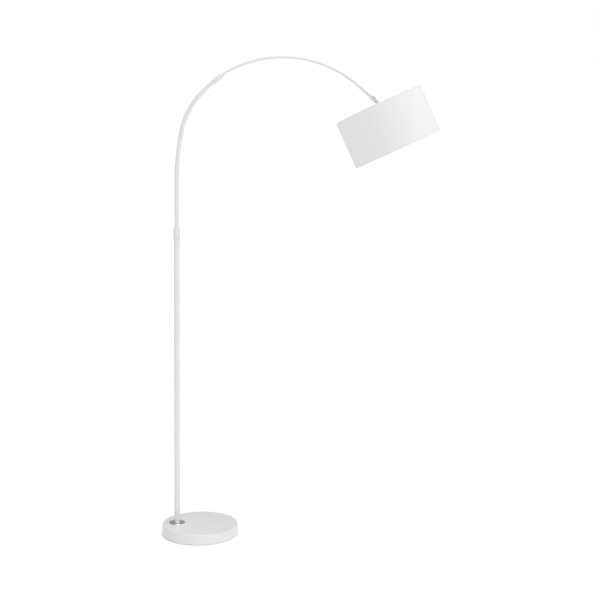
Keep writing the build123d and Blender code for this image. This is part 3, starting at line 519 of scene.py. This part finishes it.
finishes = {
    "white_steel": powder_coat("white_steel", WHITE, 0.42),
    "wire_white": powder_coat("wire_white", (0.8, 0.8, 0.795), 0.45),
    "chrome": plated("chrome", (0.77, 0.775, 0.78), 0.07),
    "zinc_steel": zinc_plated("zinc_steel", (0.62, 0.64, 0.66)),
    "plate_steel": zinc_plated("plate_steel", (0.5, 0.51, 0.52)),
    "cast_iron": cast_iron("cast_iron", (0.16, 0.16, 0.17)),
    "eva_foam": foam("eva_foam", (0.09, 0.09, 0.09)),
    "nylon_white": moulded("nylon_white", (0.78, 0.78, 0.75), 0.5, subsurface=0.1),
    "nylon_clear": moulded("nylon_clear", (0.74, 0.72, 0.65), 0.45, subsurface=0.2),
    "pvc_white": moulded("pvc_white", (0.78, 0.78, 0.77), 0.55, 900),
    "flex_sheath": moulded("flex_sheath", (0.8, 0.8, 0.78), 0.5, 900),
    "core_brown": moulded("core_brown", (0.22, 0.10, 0.05), 0.45),
    "holder_white": moulded("holder_white", (0.79, 0.785, 0.77), 0.3, 2000, 0.00002),
    "lamp_housing": moulded("lamp_housing", (0.82, 0.82, 0.81), 0.4, 1800, 0.00002, 0.1),
    "lamp_globe": frosted("lamp_globe", (0.88, 0.88, 0.86)),
    "porcelain": glazed("porcelain", (0.84, 0.82, 0.78)),
    "lamp_glass_black": glazed("lamp_glass_black", (0.03, 0.03, 0.035)),
    "brass": spun_brass("brass", (0.72, 0.55, 0.28)),
    "lamp_cap": plated("lamp_cap", (0.68, 0.67, 0.64), 0.22, 0.15),
    "board": moulded("board", (0.78, 0.8, 0.78), 0.5),
    "shade_laminate": woven("shade_laminate", (0.85, 0.85, 0.85), 0.55 * MM, 0.9, 0.12, 0.00012),
    "shade_tape": woven("shade_tape", (0.84, 0.84, 0.84), 0.42 * MM, 0.5, 0.1, 0.0001),
}
liner = moulded("shade_liner", (0.83, 0.83, 0.82), 0.42, 700, 0.00003)

for part in frame["record"]["subparts"]:
    for holder in frame["nodes"][part["node"]].material_slots:
        holder.material = finishes[part["material_slot"]]


def piece(obj, body, slot, *nodes):
    """Gives a new piece its body, its finish and the CAD nodes that it stands for."""
    if not obj.data.materials:
        obj.data.materials.append(finishes[slot])
    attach(obj, body)
    if nodes:
        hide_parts(*nodes)
    return obj


# ---------------------------------------------------------------- base
def build_base():
    cover = Reach("base_cover", ground)
    wall, lip = 1.2 * MM, 0.6 * MM
    top_edge = arc_points((cover.outer - 3 * MM, cover.high - 3 * MM), 3 * MM, 0, 90, 10)
    outside = [(cover.outer - lip, cover.low), (cover.outer, cover.low + lip)] + top_edge
    inside = [(cover.outer - 4.2 * MM, cover.high - wall), (cover.outer - wall, cover.high - 4.2 * MM),
              (cover.outer - wall, cover.low + lip)]
    section = [(0, cover.high)] + outside[::-1] + inside[::-1] + [(0, cover.high - wall)]
    pan = turned("base_cover_pan", ground, section, 240, loop=False)
    inlet = frame["record"]["mounts"][1]
    way = Vector(inlet["axis"])
    hole = Matrix.Translation(Vector(inlet["pos_m"])) @ way.to_track_quat("Z", "Y").to_matrix().to_4x4()
    cut(pan, shell("inlet_cutter", hole, 5.2 * MM, 0, -12 * MM, 12 * MM, 0, 48))
    foot = Reach("foot_nipple", pole)
    low, high = cover.high - 4 * MM, cover.high + 4 * MM
    cut(pan, shell("foot_cutter", pole, foot.outer + 0.5 * MM, 0, low, high, 0, 64))
    piece(pan, "stand", "white_steel", "base_cover")

    pad = Reach("base_pad", ground)
    edge = arc_points((pad.outer - 1 * MM, pad.high - 1 * MM), 1 * MM, -90, 90, 10)
    disc = turned("base_foam", ground, [(0, pad.low)] + edge + [(0, pad.high)], 200, loop=False)
    piece(disc, "stand", "eva_foam", "base_pad")

    build_grommet(hole)


def build_grommet(place):
    """Soft grommet: rounded flange outside, a neck in the hole, and a barbed tail inside the pan."""
    bore, flange, neck = 3.3 * MM, 7 * MM, 5.15 * MM
    skin = Reach("base_cover", ground)
    face = skin.outer - Vector(frame["record"]["mounts"][1]["pos_m"]).xy.length
    lip = face + 2.4 * MM
    tail, barb = face - 3.2 * MM, face - 1.4 * MM
    outline = [(bore, tail), (neck + 0.9 * MM, tail), (neck + 1.6 * MM, barb), (neck, barb), (neck, face),
               (flange, face), (flange, lip - 1 * MM), (flange - 1 * MM, lip), (bore + 1.6 * MM, lip),
               (bore + 1.1 * MM, lip - 0.5 * MM), (bore + 0.5 * MM, lip), (bore, lip - 0.4 * MM)]
    made = turned("cord_grommet_soft", place, rounded(outline, 0.5 * MM), 72)
    piece(made, "stand", "pvc_white", "cord_grommet")


# ---------------------------------------------------------------- foot and pole
def build_foot():
    flange = Reach("foot_flange", pole)
    bottom, top, rim = flange.low, flange.high, flange.outer
    seat = Reach("pole_lower", pole).outer
    dish = [(rim - 0.35 * MM, bottom), (rim, bottom + 0.3 * MM), (rim, bottom + 1.1 * MM)]
    dish += arc_points((rim - 1.6 * MM, bottom + 0.95 * MM), 1.6 * MM, 10, 66, 7)
    steps = 14
    for i in range(steps + 1):
        t = i / steps
        radius = rim - 3 * MM + (seat + 3.2 * MM - rim + 3 * MM) * t
        swell = 2.75 * MM + 1.75 * MM * (t * t * (3 - 2 * t))
        dish.append((radius, bottom + swell))
    dish += arc_points((seat + 1.5 * MM, top - 1.2 * MM), 1.2 * MM, 20, 90, 6)
    bore = Reach("foot_nipple", pole).outer + 0.5 * MM
    dish += [(bore, top), (bore, bottom)]
    piece(turned("foot_dish", pole, dish, 128), "stand", "chrome", "foot_flange")


def build_pole():
    for name in ("lower", "middle", "upper"):
        tube = Reach(f"pole_{name}", pole)
        made = shell(f"pole_tube_{name}", pole, tube.outer, tube.inner, tube.low + 0.04 * MM,
                     tube.high - 0.04 * MM, 0.32 * MM, 96)
        piece(made, "stand", "white_steel", f"pole_{name}")


def build_height_clamp():
    ring = Reach("clamp_body", pole)
    nut = Reach("height_clamp_nut", pole)
    pole_end = Reach("pole_upper", pole).high
    ring_top = nut.low - 1.5 * MM
    neck = nut.inner + 2.3 * MM
    plug = Reach("pole_upper", pole).inner - 0.03 * MM
    body = [(ring.inner, ring.low), (plug, ring.low), (plug, pole_end), (ring.outer, pole_end),
            (ring.outer, ring_top), (neck, ring_top)]
    body += rows(neck, ring_top + 0.3 * MM, ring.high, 0.15 * MM)
    body += [(ring.inner, ring.high)]
    soft = rounded(body, 0.45 * MM)
    thread = threaded(1.5 * MM, 0.45 * MM, ring_top + 0.4 * MM, ring.high - 0.2 * MM, neck - 0.1 * MM)

    def neck_only(angle, radius, height):
        return thread(angle, radius, height) if height > ring_top + 0.3 * MM else (radius, height)

    piece(turned("clamp_ring", pole, soft, 96, neck_only), "stand", "white_steel", "clamp_body")

    crown = 3.6 * MM
    bore = neck + 0.05 * MM
    cone = ring.high + 1.2 * MM
    outside = [(nut.outer - 0.7 * MM, nut.low), (nut.outer, nut.low + 0.7 * MM)]
    outside += arc_points((nut.outer - crown, nut.high - crown), crown, 0, 90, 12)
    ledge = ring.high + 8 * MM
    inside = [(nut.inner + 0.3 * MM, nut.high), (nut.inner, nut.high - 0.4 * MM), (nut.inner, ledge),
              (nut.inner + 0.9 * MM, ledge), (bore, cone), (bore, nut.low)]
    made = turned("height_nut", pole, outside + inside, 112)
    piece(made, "height_clamp", "white_steel", "height_clamp_nut")


# ---------------------------------------------------------------- arm
def build_arm():
    low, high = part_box("arm_lower_tube")
    outer, wall = (high.y - low.y) / 2, 1.2 * MM
    pole_end = Reach("pole_upper", pole).high
    lean_start = pole_end + STRAIGHT_IN_ARM
    up = radians(90)
    start = (pole.translation.x, low.z)
    runs = [lean_start - low.z, LEAN, BEND, STUB]
    piece(swept("arm_tube_lower", bent(start, up, runs), outer, outer - wall, 56), "lower_arm",
          "white_steel", "arm_lower_tube")

    low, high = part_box("arm_upper_tube")
    outer, wall = (high.y - low.y) / 2, 1.0 * MM
    origin, way = collar.translation, collar.col[2]
    tail = origin + way.xyz * UPPER_START
    heading = atan2(way.z, way.x)
    runs = [UPPER_STRAIGHT, EASE, ARC, UPPER_DROP]
    piece(swept("arm_tube_upper", bent((tail.x, tail.z), heading, runs), outer, outer - wall, 48),
          "upper_arm", "white_steel", "arm_upper_tube")


def build_arc_clamp():
    body = Reach("arc_clamp_body", collar)
    nut = Reach("arc_clamp_nut", collar)
    shoulder = STUB
    flange_end = nut.low - 0.8 * MM
    neck = nut.inner + 2.6 * MM
    plug = 6.77 * MM
    outline = [(body.inner, body.low), (plug, body.low), (plug, shoulder), (body.outer, shoulder),
               (body.outer, flange_end), (neck, flange_end), (neck, body.high),
               (nut.inner + 1 * MM, body.high), (nut.inner + 1 * MM, shoulder + 1.2 * MM),
               (body.inner, shoulder + 1.2 * MM)]
    piece(turned("arc_clamp_ring", collar, rounded(outline, 0.35 * MM), 96), "lower_arm", "white_steel",
          "arc_clamp_body")

    crown = 3.4 * MM
    outside = [(nut.outer - 0.6 * MM, nut.low), (nut.outer, nut.low + 0.6 * MM)]
    outside += arc_points((nut.outer - crown, nut.high - crown), crown, 0, 90, 12)
    bore, ledge = neck + 0.05 * MM, body.high + 7 * MM
    inside = [(nut.inner + 0.3 * MM, nut.high), (nut.inner, nut.high - 0.3 * MM), (nut.inner, ledge),
              (nut.inner + 1.4 * MM, ledge), (bore, body.high + 1 * MM), (bore, nut.low)]
    piece(turned("arc_nut", collar, outside + inside, 96), "arc_clamp", "white_steel", "arc_clamp_nut")


# ---------------------------------------------------------------- shade
def weave_map(obj, place, radius):
    """UV map in metres: round the drum and down it."""
    inverse = place.inverted()
    layer = obj.data.uv_layers.new(name="weave")
    points = [inverse @ vertex.co for vertex in obj.data.vertices]
    for polygon in obj.data.polygons:
        centre = inverse @ polygon.center
        middle = atan2(centre.y, centre.x)
        for loop in polygon.loop_indices:
            point = points[obj.data.loops[loop].vertex_index]
            off = atan2(point.y, point.x) - middle
            off = (off + pi) % (2 * pi) - pi
            down = point.z + hypot(point.x, point.y)
            layer.data[loop].uv = ((middle + off) * radius, down)


def drum_wave(angle, height):
    """How far the stiffened drum strays from round."""
    return 0.22 * MM * sin(2 * angle + 0.6) + 0.12 * MM * sin(5 * angle + height * 18)


def build_shade():
    drum = Reach("shade_drum", head)
    wire_ring = Reach("shade_bottom_wire", head)
    radius, wall = drum.outer, drum.outer - drum.inner
    lap_width, lap_rise, lap_step = 12 * MM, 0.5 * MM, 0.25 * MM
    seam = radians(90)

    def lay(angle, r, height):
        """Slight waves of the stiffened fabric, and the glued lap at the back."""
        past = (angle - seam) * radius
        lap = 0.0
        if 0 <= past <= lap_width and r > radius - 0.6 * wall:
            lap = lap_rise * min(1, past / lap_step) * min(1, (lap_width - past) / (4 * MM))
        return r + drum_wave(angle, height) + lap, height

    low, high = drum.low, drum.high
    walls = 28
    outer = [(radius, low + (high - low) * i / walls) for i in range(walls + 1)]
    inner = [(drum.inner, low + (high - low) * i / walls) for i in range(walls, -1, -1)]
    angles = sorted({2 * pi * i / 240 for i in range(240)}
                    | {seam + t * MM / radius for t in (0.01, 0.1, 0.25, 0.6, 2, 4, 6, 8, 9, 10, 11, 12)})
    fabric = turned("shade_fabric", head, outer + inner, angles, lay)
    fabric.data.materials.append(finishes["shade_laminate"])
    fabric.data.materials.append(liner)
    inverse = head.inverted()
    for polygon in fabric.data.polygons:
        centre = inverse @ polygon.center
        if hypot(centre.x, centre.y) < radius - 0.7 * wall:
            polygon.material_index = 1
    weave_map(fabric, head, radius)
    piece(fabric, "head", "shade_laminate", "shade_drum")

    wire_radius = (wire_ring.outer - wire_ring.inner) / 2
    wire_centre = wire_ring.outer - wire_radius
    for name, edge, inward in (("top", low, 1), ("bottom", high, -1)):
        wire_level = edge + inward * (wire_radius + WIRE_GAP)
        face, hug = radius + 0.3 * MM, wire_radius + 0.12 * MM
        outside = [(face, edge + inward * h * MM) for h in (6, 3, 0.5)]
        fold = [(radius - 0.1 * MM, edge - inward * 0.12 * MM), (radius - wall, edge - inward * 0.2 * MM)]
        around = [(wire_centre + hug * cos(a), wire_level + inward * hug * sin(a))
                  for a in (radians(-80 - 18 * i) for i in range(12))]
        outline = band(outside + fold + around, -inward * 0.28 * MM)

        def puckers(angle, r, height):
            """Tape follows the drum, pulled tight with small puckers over the wire."""
            pucker = 0.05 * MM * sin(96 * angle) * (1 if r < radius - wall else 0.3)
            return r + drum_wave(angle, height) + pucker, height

        tape = turned(f"shade_tape_{name}", head, outline, 384, puckers)
        tape.data.materials.append(finishes["shade_tape"])
        weave_map(tape, head, radius)
        piece(tape, "head", "shade_tape", f"shade_{name}_trim")


def build_shade_frame():
    drum = Reach("shade_drum", head)
    lower = Reach("shade_bottom_wire", head)
    wire_radius = (lower.outer - lower.inner) / 2
    centre = lower.outer - wire_radius
    levels = {"top": drum.low + wire_radius + WIRE_GAP, "bottom": drum.high - wire_radius - WIRE_GAP}
    for name, level in levels.items():
        outline = arc_points((centre, level), wire_radius, 0, 345, 23)
        ring = turned(f"shade_wire_{name}", head, outline, 192)
        piece(ring, "head", "wire_white", "shade_bottom_wire" if name == "bottom" else "shade_fitter")

    fitter = drum.low + FITTER_DROP
    hub_out, hub_in, sheet = 29 * MM, 20 * MM, 1.3 * MM
    hub_low = fitter + 0.1 * MM
    hub = [(hub_in, hub_low), (hub_in + 5 * MM, hub_low), (hub_out, hub_low), (hub_out, hub_low + sheet),
           (hub_in, hub_low + sheet)]
    piece(turned("spider_hub", head, rounded(hub, 0.4 * MM), 96), "head", "wire_white")
    level = hub_low + sheet / 2
    knee = centre - 26 * MM
    arm_radius = 2 * MM
    for index in range(3):
        angle = radians(60 - 120 * index)
        way = head.to_3x3() @ Vector((cos(angle), sin(angle), 0))
        down = head.col[2].xyz
        points = [head.translation + way * r + down * h
                  for r, h in ((hub_out - 3 * MM, level), (knee, level), (centre, levels["top"]))]
        arm = wire(f"spider_arm_{index + 1}", points, arm_radius, 14 * MM)
        piece(arm, "head", "wire_white")
        tangent = head.to_3x3() @ Vector((-sin(angle), cos(angle), 0))
        bead = blob(f"spider_weld_{index + 1}", points[0] + way * 3 * MM, way, 2.9 * MM, 4.2 * MM)
        piece(bead, "head", "wire_white")
        rim = blob(f"rim_weld_{index + 1}", points[2] - way * 1.2 * MM, tangent, 2.4 * MM, 3.4 * MM)
        piece(rim, "head", "wire_white")


# ---------------------------------------------------------------- lampholder and bulb
def build_lampholder():
    cap = Reach("lampholder_cap", head)
    low, high, radius = cap.low, cap.high, cap.outer
    wall = 2 * MM
    dome = [(5.1 * MM, low), (12.0 * MM, low)]
    for i in range(10):
        t = (i + 1) / 10
        spread = (radius - 12.5 * MM) * sin(t * pi / 2) ** 0.9
        dome.append((12.5 * MM + spread, low + 0.6 * MM + 13 * MM * t * t**0.3))
    dome += [(radius, low + 15 * MM), (radius, high - 3 * MM), (radius - 0.35 * MM, high - 2.7 * MM),
             (radius - 0.35 * MM, high - 2.2 * MM), (radius, high - 1.9 * MM), (radius, high),
             (radius - wall, high), (radius - wall, low + 14 * MM), (11 * MM, low + wall),
             (5.1 * MM, low + wall)]

    def flutes(angle, r, height):
        """Shallow grip flutes round the cap's straight part."""
        if r > radius - 0.1 * MM and low + 15 * MM < height < high - 3.2 * MM:
            r -= 0.4 * MM * max(0, cos(24 * angle)) ** 3
        return r, height

    straight = rows(radius, low + 15.5 * MM, high - 3.3 * MM, 1.2 * MM)
    at = dome.index((radius, low + 15 * MM)) + 1
    dome[at:at] = straight
    piece(turned("lampholder_dome", head, dome, 192, flutes), "head", "holder_white", "lampholder_cap")

    body = Reach("lampholder_body", head)
    fitter = Reach("shade_drum", head).low + FITTER_DROP
    bottom = body.high
    skirt, inner = radius - 0.1 * MM, 14.9 * MM
    thread_low, thread_high = fitter + 1 * MM, bottom - 1.5 * MM
    rim = body.outer - 0.4 * MM
    outline = [(inner, high), (skirt, high), (skirt, fitter - 2 * MM), (rim, fitter - 2 * MM),
               (body.outer, fitter - 1.6 * MM), (body.outer, fitter - 0.4 * MM), (rim, fitter),
               (skirt, fitter)]
    outline += rows(skirt, fitter + 0.6 * MM, bottom - 1 * MM, 0.3 * MM)
    outline += [(skirt - 1.1 * MM, bottom), (inner + 0.5 * MM, bottom), (inner, bottom - 0.5 * MM)]
    ledge, ledge_low, ledge_high = inner - 1.5 * MM, 45 * MM, 46.5 * MM
    outline += [(inner, ledge_high), (ledge, ledge_high), (ledge, ledge_low), (inner, ledge_low)]
    thread = threaded(3 * MM, 0.9 * MM, thread_low, thread_high, skirt - 0.05 * MM)
    piece(turned("lampholder_skirt", head, outline, 128, thread), "head", "holder_white", "lampholder_body")

    ring = Reach("shade_ring", head)
    bore = radius + 0.03 * MM - 0.1 * MM
    profile = [(bore, ring.low + 0.4 * MM), (bore + 0.4 * MM, ring.low), (ring.outer - 0.5 * MM, ring.low),
               (ring.outer, ring.low + 0.5 * MM), (ring.outer, ring.low + 1.6 * MM)]
    profile += rows(ring.outer, ring.low + 2.0 * MM, ring.high - 0.5 * MM, 1 * MM)
    profile += [(ring.outer - 0.5 * MM, ring.high), (bore + 0.4 * MM, ring.high),
                (bore, ring.high - 0.4 * MM)]

    def ribs(angle, r, height):
        """Grip notches that stop short of the ring's upper edge."""
        if r > ring.outer - 0.6 * MM and height > ring.low + 1.9 * MM:
            r -= 0.85 * MM * (0.5 - 0.5 * cos(24 * angle)) ** 4
        return r, height

    piece(turned("shade_ring_ribbed", head, profile, 288, ribs), "head", "holder_white", "shade_ring")

    screw = Reach("screw_shell", head)
    line = rows(screw.outer, screw.low, screw.high, 0.3 * MM)

    def rolled(angle, r, height):
        """Rolled Edison thread: both skins follow it."""
        fade = min(1, (height - screw.low) / (2 * MM), (screw.high - height) / (2 * MM))
        wave = cos(2 * pi * (height / EDISON_PITCH - angle / (2 * pi)))
        return r - 0.25 * MM * (1 - wave) * max(0, fade) * 0.5, height

    skin = line + [(r - 0.4 * MM, h) for r, h in line[::-1]]
    piece(turned("screw_shell_rolled", head, skin, 96, rolled), "head", "brass", "screw_shell")


def build_bulb():
    cap = Reach("bulb_cap", head)
    line = rows(cap.outer, cap.low + 1.6 * MM, cap.high, 0.3 * MM)
    start = [(0, cap.low), (cap.outer - 1.2 * MM, cap.low), (cap.outer - 0.4 * MM, cap.low + 0.6 * MM)]
    back = [(cap.outer - 1.4 * MM, cap.low + 0.9 * MM), (0, cap.low + 0.9 * MM)]
    outline = start + line + [(r - 0.4 * MM, h) for r, h in line[::-1]] + back

    def rolled(angle, r, height):
        """Rolled Edison thread on both skins of the cap, fading out towards its two ends."""
        low, high = cap.low + 1.5 * MM, cap.high - 3.5 * MM
        if r < cap.outer - 1 * MM or not low < height < high:
            return (r - 0.45 * MM, height) if height >= high and r > cap.outer - 1 * MM else (r, height)
        fade = min(1, (height - low) / (2 * MM), (high - height) / (2 * MM))
        wave = cos(2 * pi * (height / EDISON_PITCH - angle / (2 * pi)))
        return r - 0.45 * MM * (1 - fade * (0.5 + 0.5 * wave)), height

    piece(turned("bulb_screw_cap", head, outline, 96, rolled, loop=False), "bulb", "lamp_cap", "bulb_cap")

    tip = Reach("bulb_contact", head)
    solder = [(0, tip.low)] + arc_points((tip.outer - 1.1 * MM, tip.low + 1.1 * MM), 1.1 * MM, -80, 0, 6)
    solder += [(tip.outer, tip.high), (0, tip.high)]
    piece(turned("bulb_solder_tip", head, solder, 64, loop=False), "bulb", "lamp_cap", "bulb_contact")

    body = Reach("bulb_housing", head)
    start = cap.high + 0.2 * MM
    collar_radius = cap.outer + 1 * MM
    rim, rim_level = body.outer, body.high
    sides = [(cap.outer - 0.6 * MM, body.low), (cap.outer - 0.6 * MM, start),
             (collar_radius - 0.4 * MM, start), (collar_radius, start + 0.4 * MM)]
    steps = 22
    for i in range(steps + 1):
        t = i / steps
        ease = t * t * (3 - 2 * t)
        level = start + 1.5 * MM + (rim_level - 2.4 * MM - start) * t
        flare = (rim - collar_radius) * (0.55 * ease + 0.45 * t)
        sides.append((collar_radius + flare, min(level, rim_level - 0.5 * MM)))
    sides += [(rim - 0.3 * MM, rim_level), (rim - 1.6 * MM, rim_level)]
    inner = [(r - 1.6 * MM, h) for r, h in sides[-3:3:-4]]
    inner += [(cap.outer - 2.1 * MM, start), (cap.outer - 2.1 * MM, body.low)]
    piece(turned("bulb_body", head, sides + inner, 96), "bulb", "lamp_housing", "bulb_housing")

    globe = Reach("bulb_globe", head)
    radius = globe.outer
    middle = globe.high - radius
    skirt = globe.low
    begin = atan2(skirt - middle, radius)
    lower_angle = -acos(max(-1, min(1, (rim - 0.05 * MM) / radius))) if rim < radius else begin
    dome = arc_points((0, middle), radius, lower_angle * 180 / pi, 90, 40)
    dome = [(max(r, 0), h) for r, h in dome if h >= skirt]
    wall = 1.2 * MM
    inside = [(max(r - wall * max(0, r / radius), 0), h - wall * max(0, (h - middle) / radius))
              for r, h in dome]
    ring = [(dome[0][0], skirt)] if dome[0][1] > skirt else []
    outline = ring + dome + inside[::-1] + ([(inside[0][0], skirt)] if ring else [])
    piece(turned("bulb_diffuser", head, outline, 128), "bulb", "lamp_globe", "bulb_globe")


# ---------------------------------------------------------------- swivel yoke
def block(name, place, half, low, high):
    """Box about the place's Z: half its X and Y sizes, and its heights."""
    verts = [place @ Vector((sx * half[0], sy * half[1], z))
             for z in (low, high) for sx, sy in ((-1, -1), (1, -1), (1, 1), (-1, 1))]
    faces = [(3, 2, 1, 0), (4, 5, 6, 7), (0, 1, 5, 4), (1, 2, 6, 5), (2, 3, 7, 6), (3, 0, 4, 7)]
    return finished(name, verts, faces)


def rod(name, place, radius, low, high, segments=48):
    """Closed cylinder for cuts."""
    return turned(name, place, [(0, low), (radius, low), (radius, high), (0, high)], segments, loop=False)


def build_yoke():
    reach = Reach("swivel_yoke", yoke)
    radius, low = reach.outer, reach.low
    corner = 0.7 * MM
    outline = [(0, low), (radius - corner, low)]
    outline += arc_points((radius - corner, low + corner), corner, -72, 0, 4)
    outline += arc_points((0, 0), radius, 0, 90, 20)
    capsule = turned("swivel_fork", yoke, outline[:-1] + [(0, radius)], 128, loop=False)
    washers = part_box("pivot_washers")[1].y
    slot = washers + 0.02 * MM
    cut(capsule, block("slot_cutter", yoke, (2 * radius, slot), -8.5 * MM, 2 * radius))
    cut(capsule, rod("tube_cutter", yoke, 5.02 * MM, 2 * low, low + 10 * MM))
    cut(capsule, rod("flex_cutter", yoke, 3 * MM, low, 0))
    turn = Vector((0, 1, 0)).to_track_quat("Z", "X").to_matrix().to_4x4()
    across = Matrix.Translation(yoke.translation) @ turn
    cut(capsule, rod("screw_cutter", across, 2 * MM, -2 * radius, 2 * radius))
    for side in (1, -1):
        ends = sorted((side * 5.65 * MM, side * 2 * radius))
        cut(capsule, rod("head_cutter", across, 2.6 * MM, *ends))
    piece(capsule, "upper_arm", "chrome", "swivel_yoke")


# ---------------------------------------------------------------- carried-over CAD pieces
def soften(node, width):
    """Small bevels on a CAD node's sharp edges, by modifiers alone."""
    obj = frame["nodes"][node]
    weld = obj.modifiers.new("weld", "WELD")
    weld.merge_threshold = 1e-6
    bevel = obj.modifiers.new("soft_edges", "BEVEL")
    bevel.width = width
    bevel.segments = 2
    bevel.limit_method = "ANGLE"
    bevel.angle_limit = radians(35)
    bevel.harden_normals = False


# ---------------------------------------------------------------- stage, light and camera
def build_stage():
    size = 30.0
    corners = [(-size, -size, 0), (size, -size, 0), (size, size, 0), (-size, size, 0)]
    floor = finished("studio_floor", corners, [(0, 1, 2, 3)])
    floor.data.materials.append(floor_finish())


def build_light():
    scene.view_settings.view_transform = "Standard"
    world = bpy.data.worlds.new("studio")
    scene.world = world
    world.use_nodes = True
    tree = world.node_tree
    tree.nodes.clear()

    def add(kind, **inputs):
        made = tree.nodes.new(kind)
        for key, value in inputs.items():
            made.inputs[key].default_value = value
        return made

    def math(operation, first, second):
        made = tree.nodes.new("ShaderNodeMath")
        made.operation = operation
        for index, value in enumerate((first, second)):
            if isinstance(value, bpy.types.NodeSocket):
                tree.links.new(value, made.inputs[index])
            else:
                made.inputs[index].default_value = value
        return made.outputs[0]

    way = add("ShaderNodeSeparateXYZ")
    tree.links.new(tree.nodes.new("ShaderNodeTexCoord").outputs["Generated"], way.inputs[0])
    facing = math("MAXIMUM", math("MULTIPLY", way.outputs["Y"], -1.0), 0.0)
    front = math("MULTIPLY", math("MULTIPLY", facing, facing), 0.42)
    side = math("MULTIPLY", way.outputs["X"], 0.17)
    away = math("MAXIMUM", way.outputs["Y"], 0.0)
    dark = math("MULTIPLY", math("MULTIPLY", away, away), -0.1)
    both = math("ADD", math("ADD", math("ADD", front, side), dark), 0.46)
    soft = add("ShaderNodeBackground", Color=(1, 1, 1, 1))
    tree.links.new(both, soft.inputs["Strength"])
    backdrop = add("ShaderNodeBackground", Color=(1, 1, 1, 1), Strength=1.0)
    seen = tree.nodes.new("ShaderNodeLightPath")
    mix = tree.nodes.new("ShaderNodeMixShader")
    out = tree.nodes.new("ShaderNodeOutputWorld")
    tree.links.new(seen.outputs["Is Camera Ray"], mix.inputs[0])
    tree.links.new(soft.outputs[0], mix.inputs[1])
    tree.links.new(backdrop.outputs[0], mix.inputs[2])
    tree.links.new(mix.outputs[0], out.inputs[0])

    sun = bpy.data.lights.new("key", "SUN")
    sun.energy = 1.65
    sun.angle = radians(40)
    key = bpy.data.objects.new("key", sun)
    scene.collection.objects.link(key)
    key.rotation_mode = "QUATERNION"
    key.rotation_quaternion = Vector((0.16, -0.16, 0.97)).to_track_quat("Z", "Y")


def build_camera():
    """A 64.7 mm view from the front and above the lamp's middle, tipped 6.7 degrees down."""
    yaw, pitch, roll = radians(1.23), radians(6.71), radians(0.676)
    eye = Vector((0.4782, -4.1746, 1.4367))
    forward = Vector((-sin(yaw) * cos(pitch), cos(yaw) * cos(pitch), -sin(pitch)))
    level = Vector((cos(yaw), sin(yaw), 0))
    upright = level.cross(forward)
    right = cos(roll) * level + sin(roll) * upright
    up = cos(roll) * upright - sin(roll) * level
    data = bpy.data.cameras.new("camera")
    data.lens = 64.7
    data.sensor_width = 36.0
    camera = bpy.data.objects.new("camera", data)
    scene.collection.objects.link(camera)
    camera.matrix_world = Matrix.Translation(eye) @ Matrix((right, up, -forward)).transposed().to_4x4()
    scene.camera = camera


build_stage()
build_light()
build_camera()
build_base()
build_foot()
build_pole()
build_height_clamp()
build_arm()
build_arc_clamp()
build_shade()
build_shade_frame()
build_lampholder()
build_bulb()
build_yoke()
for node in ("swivel_tongue", "pivot_screws"):
    soften(node, 0.12 * MM)
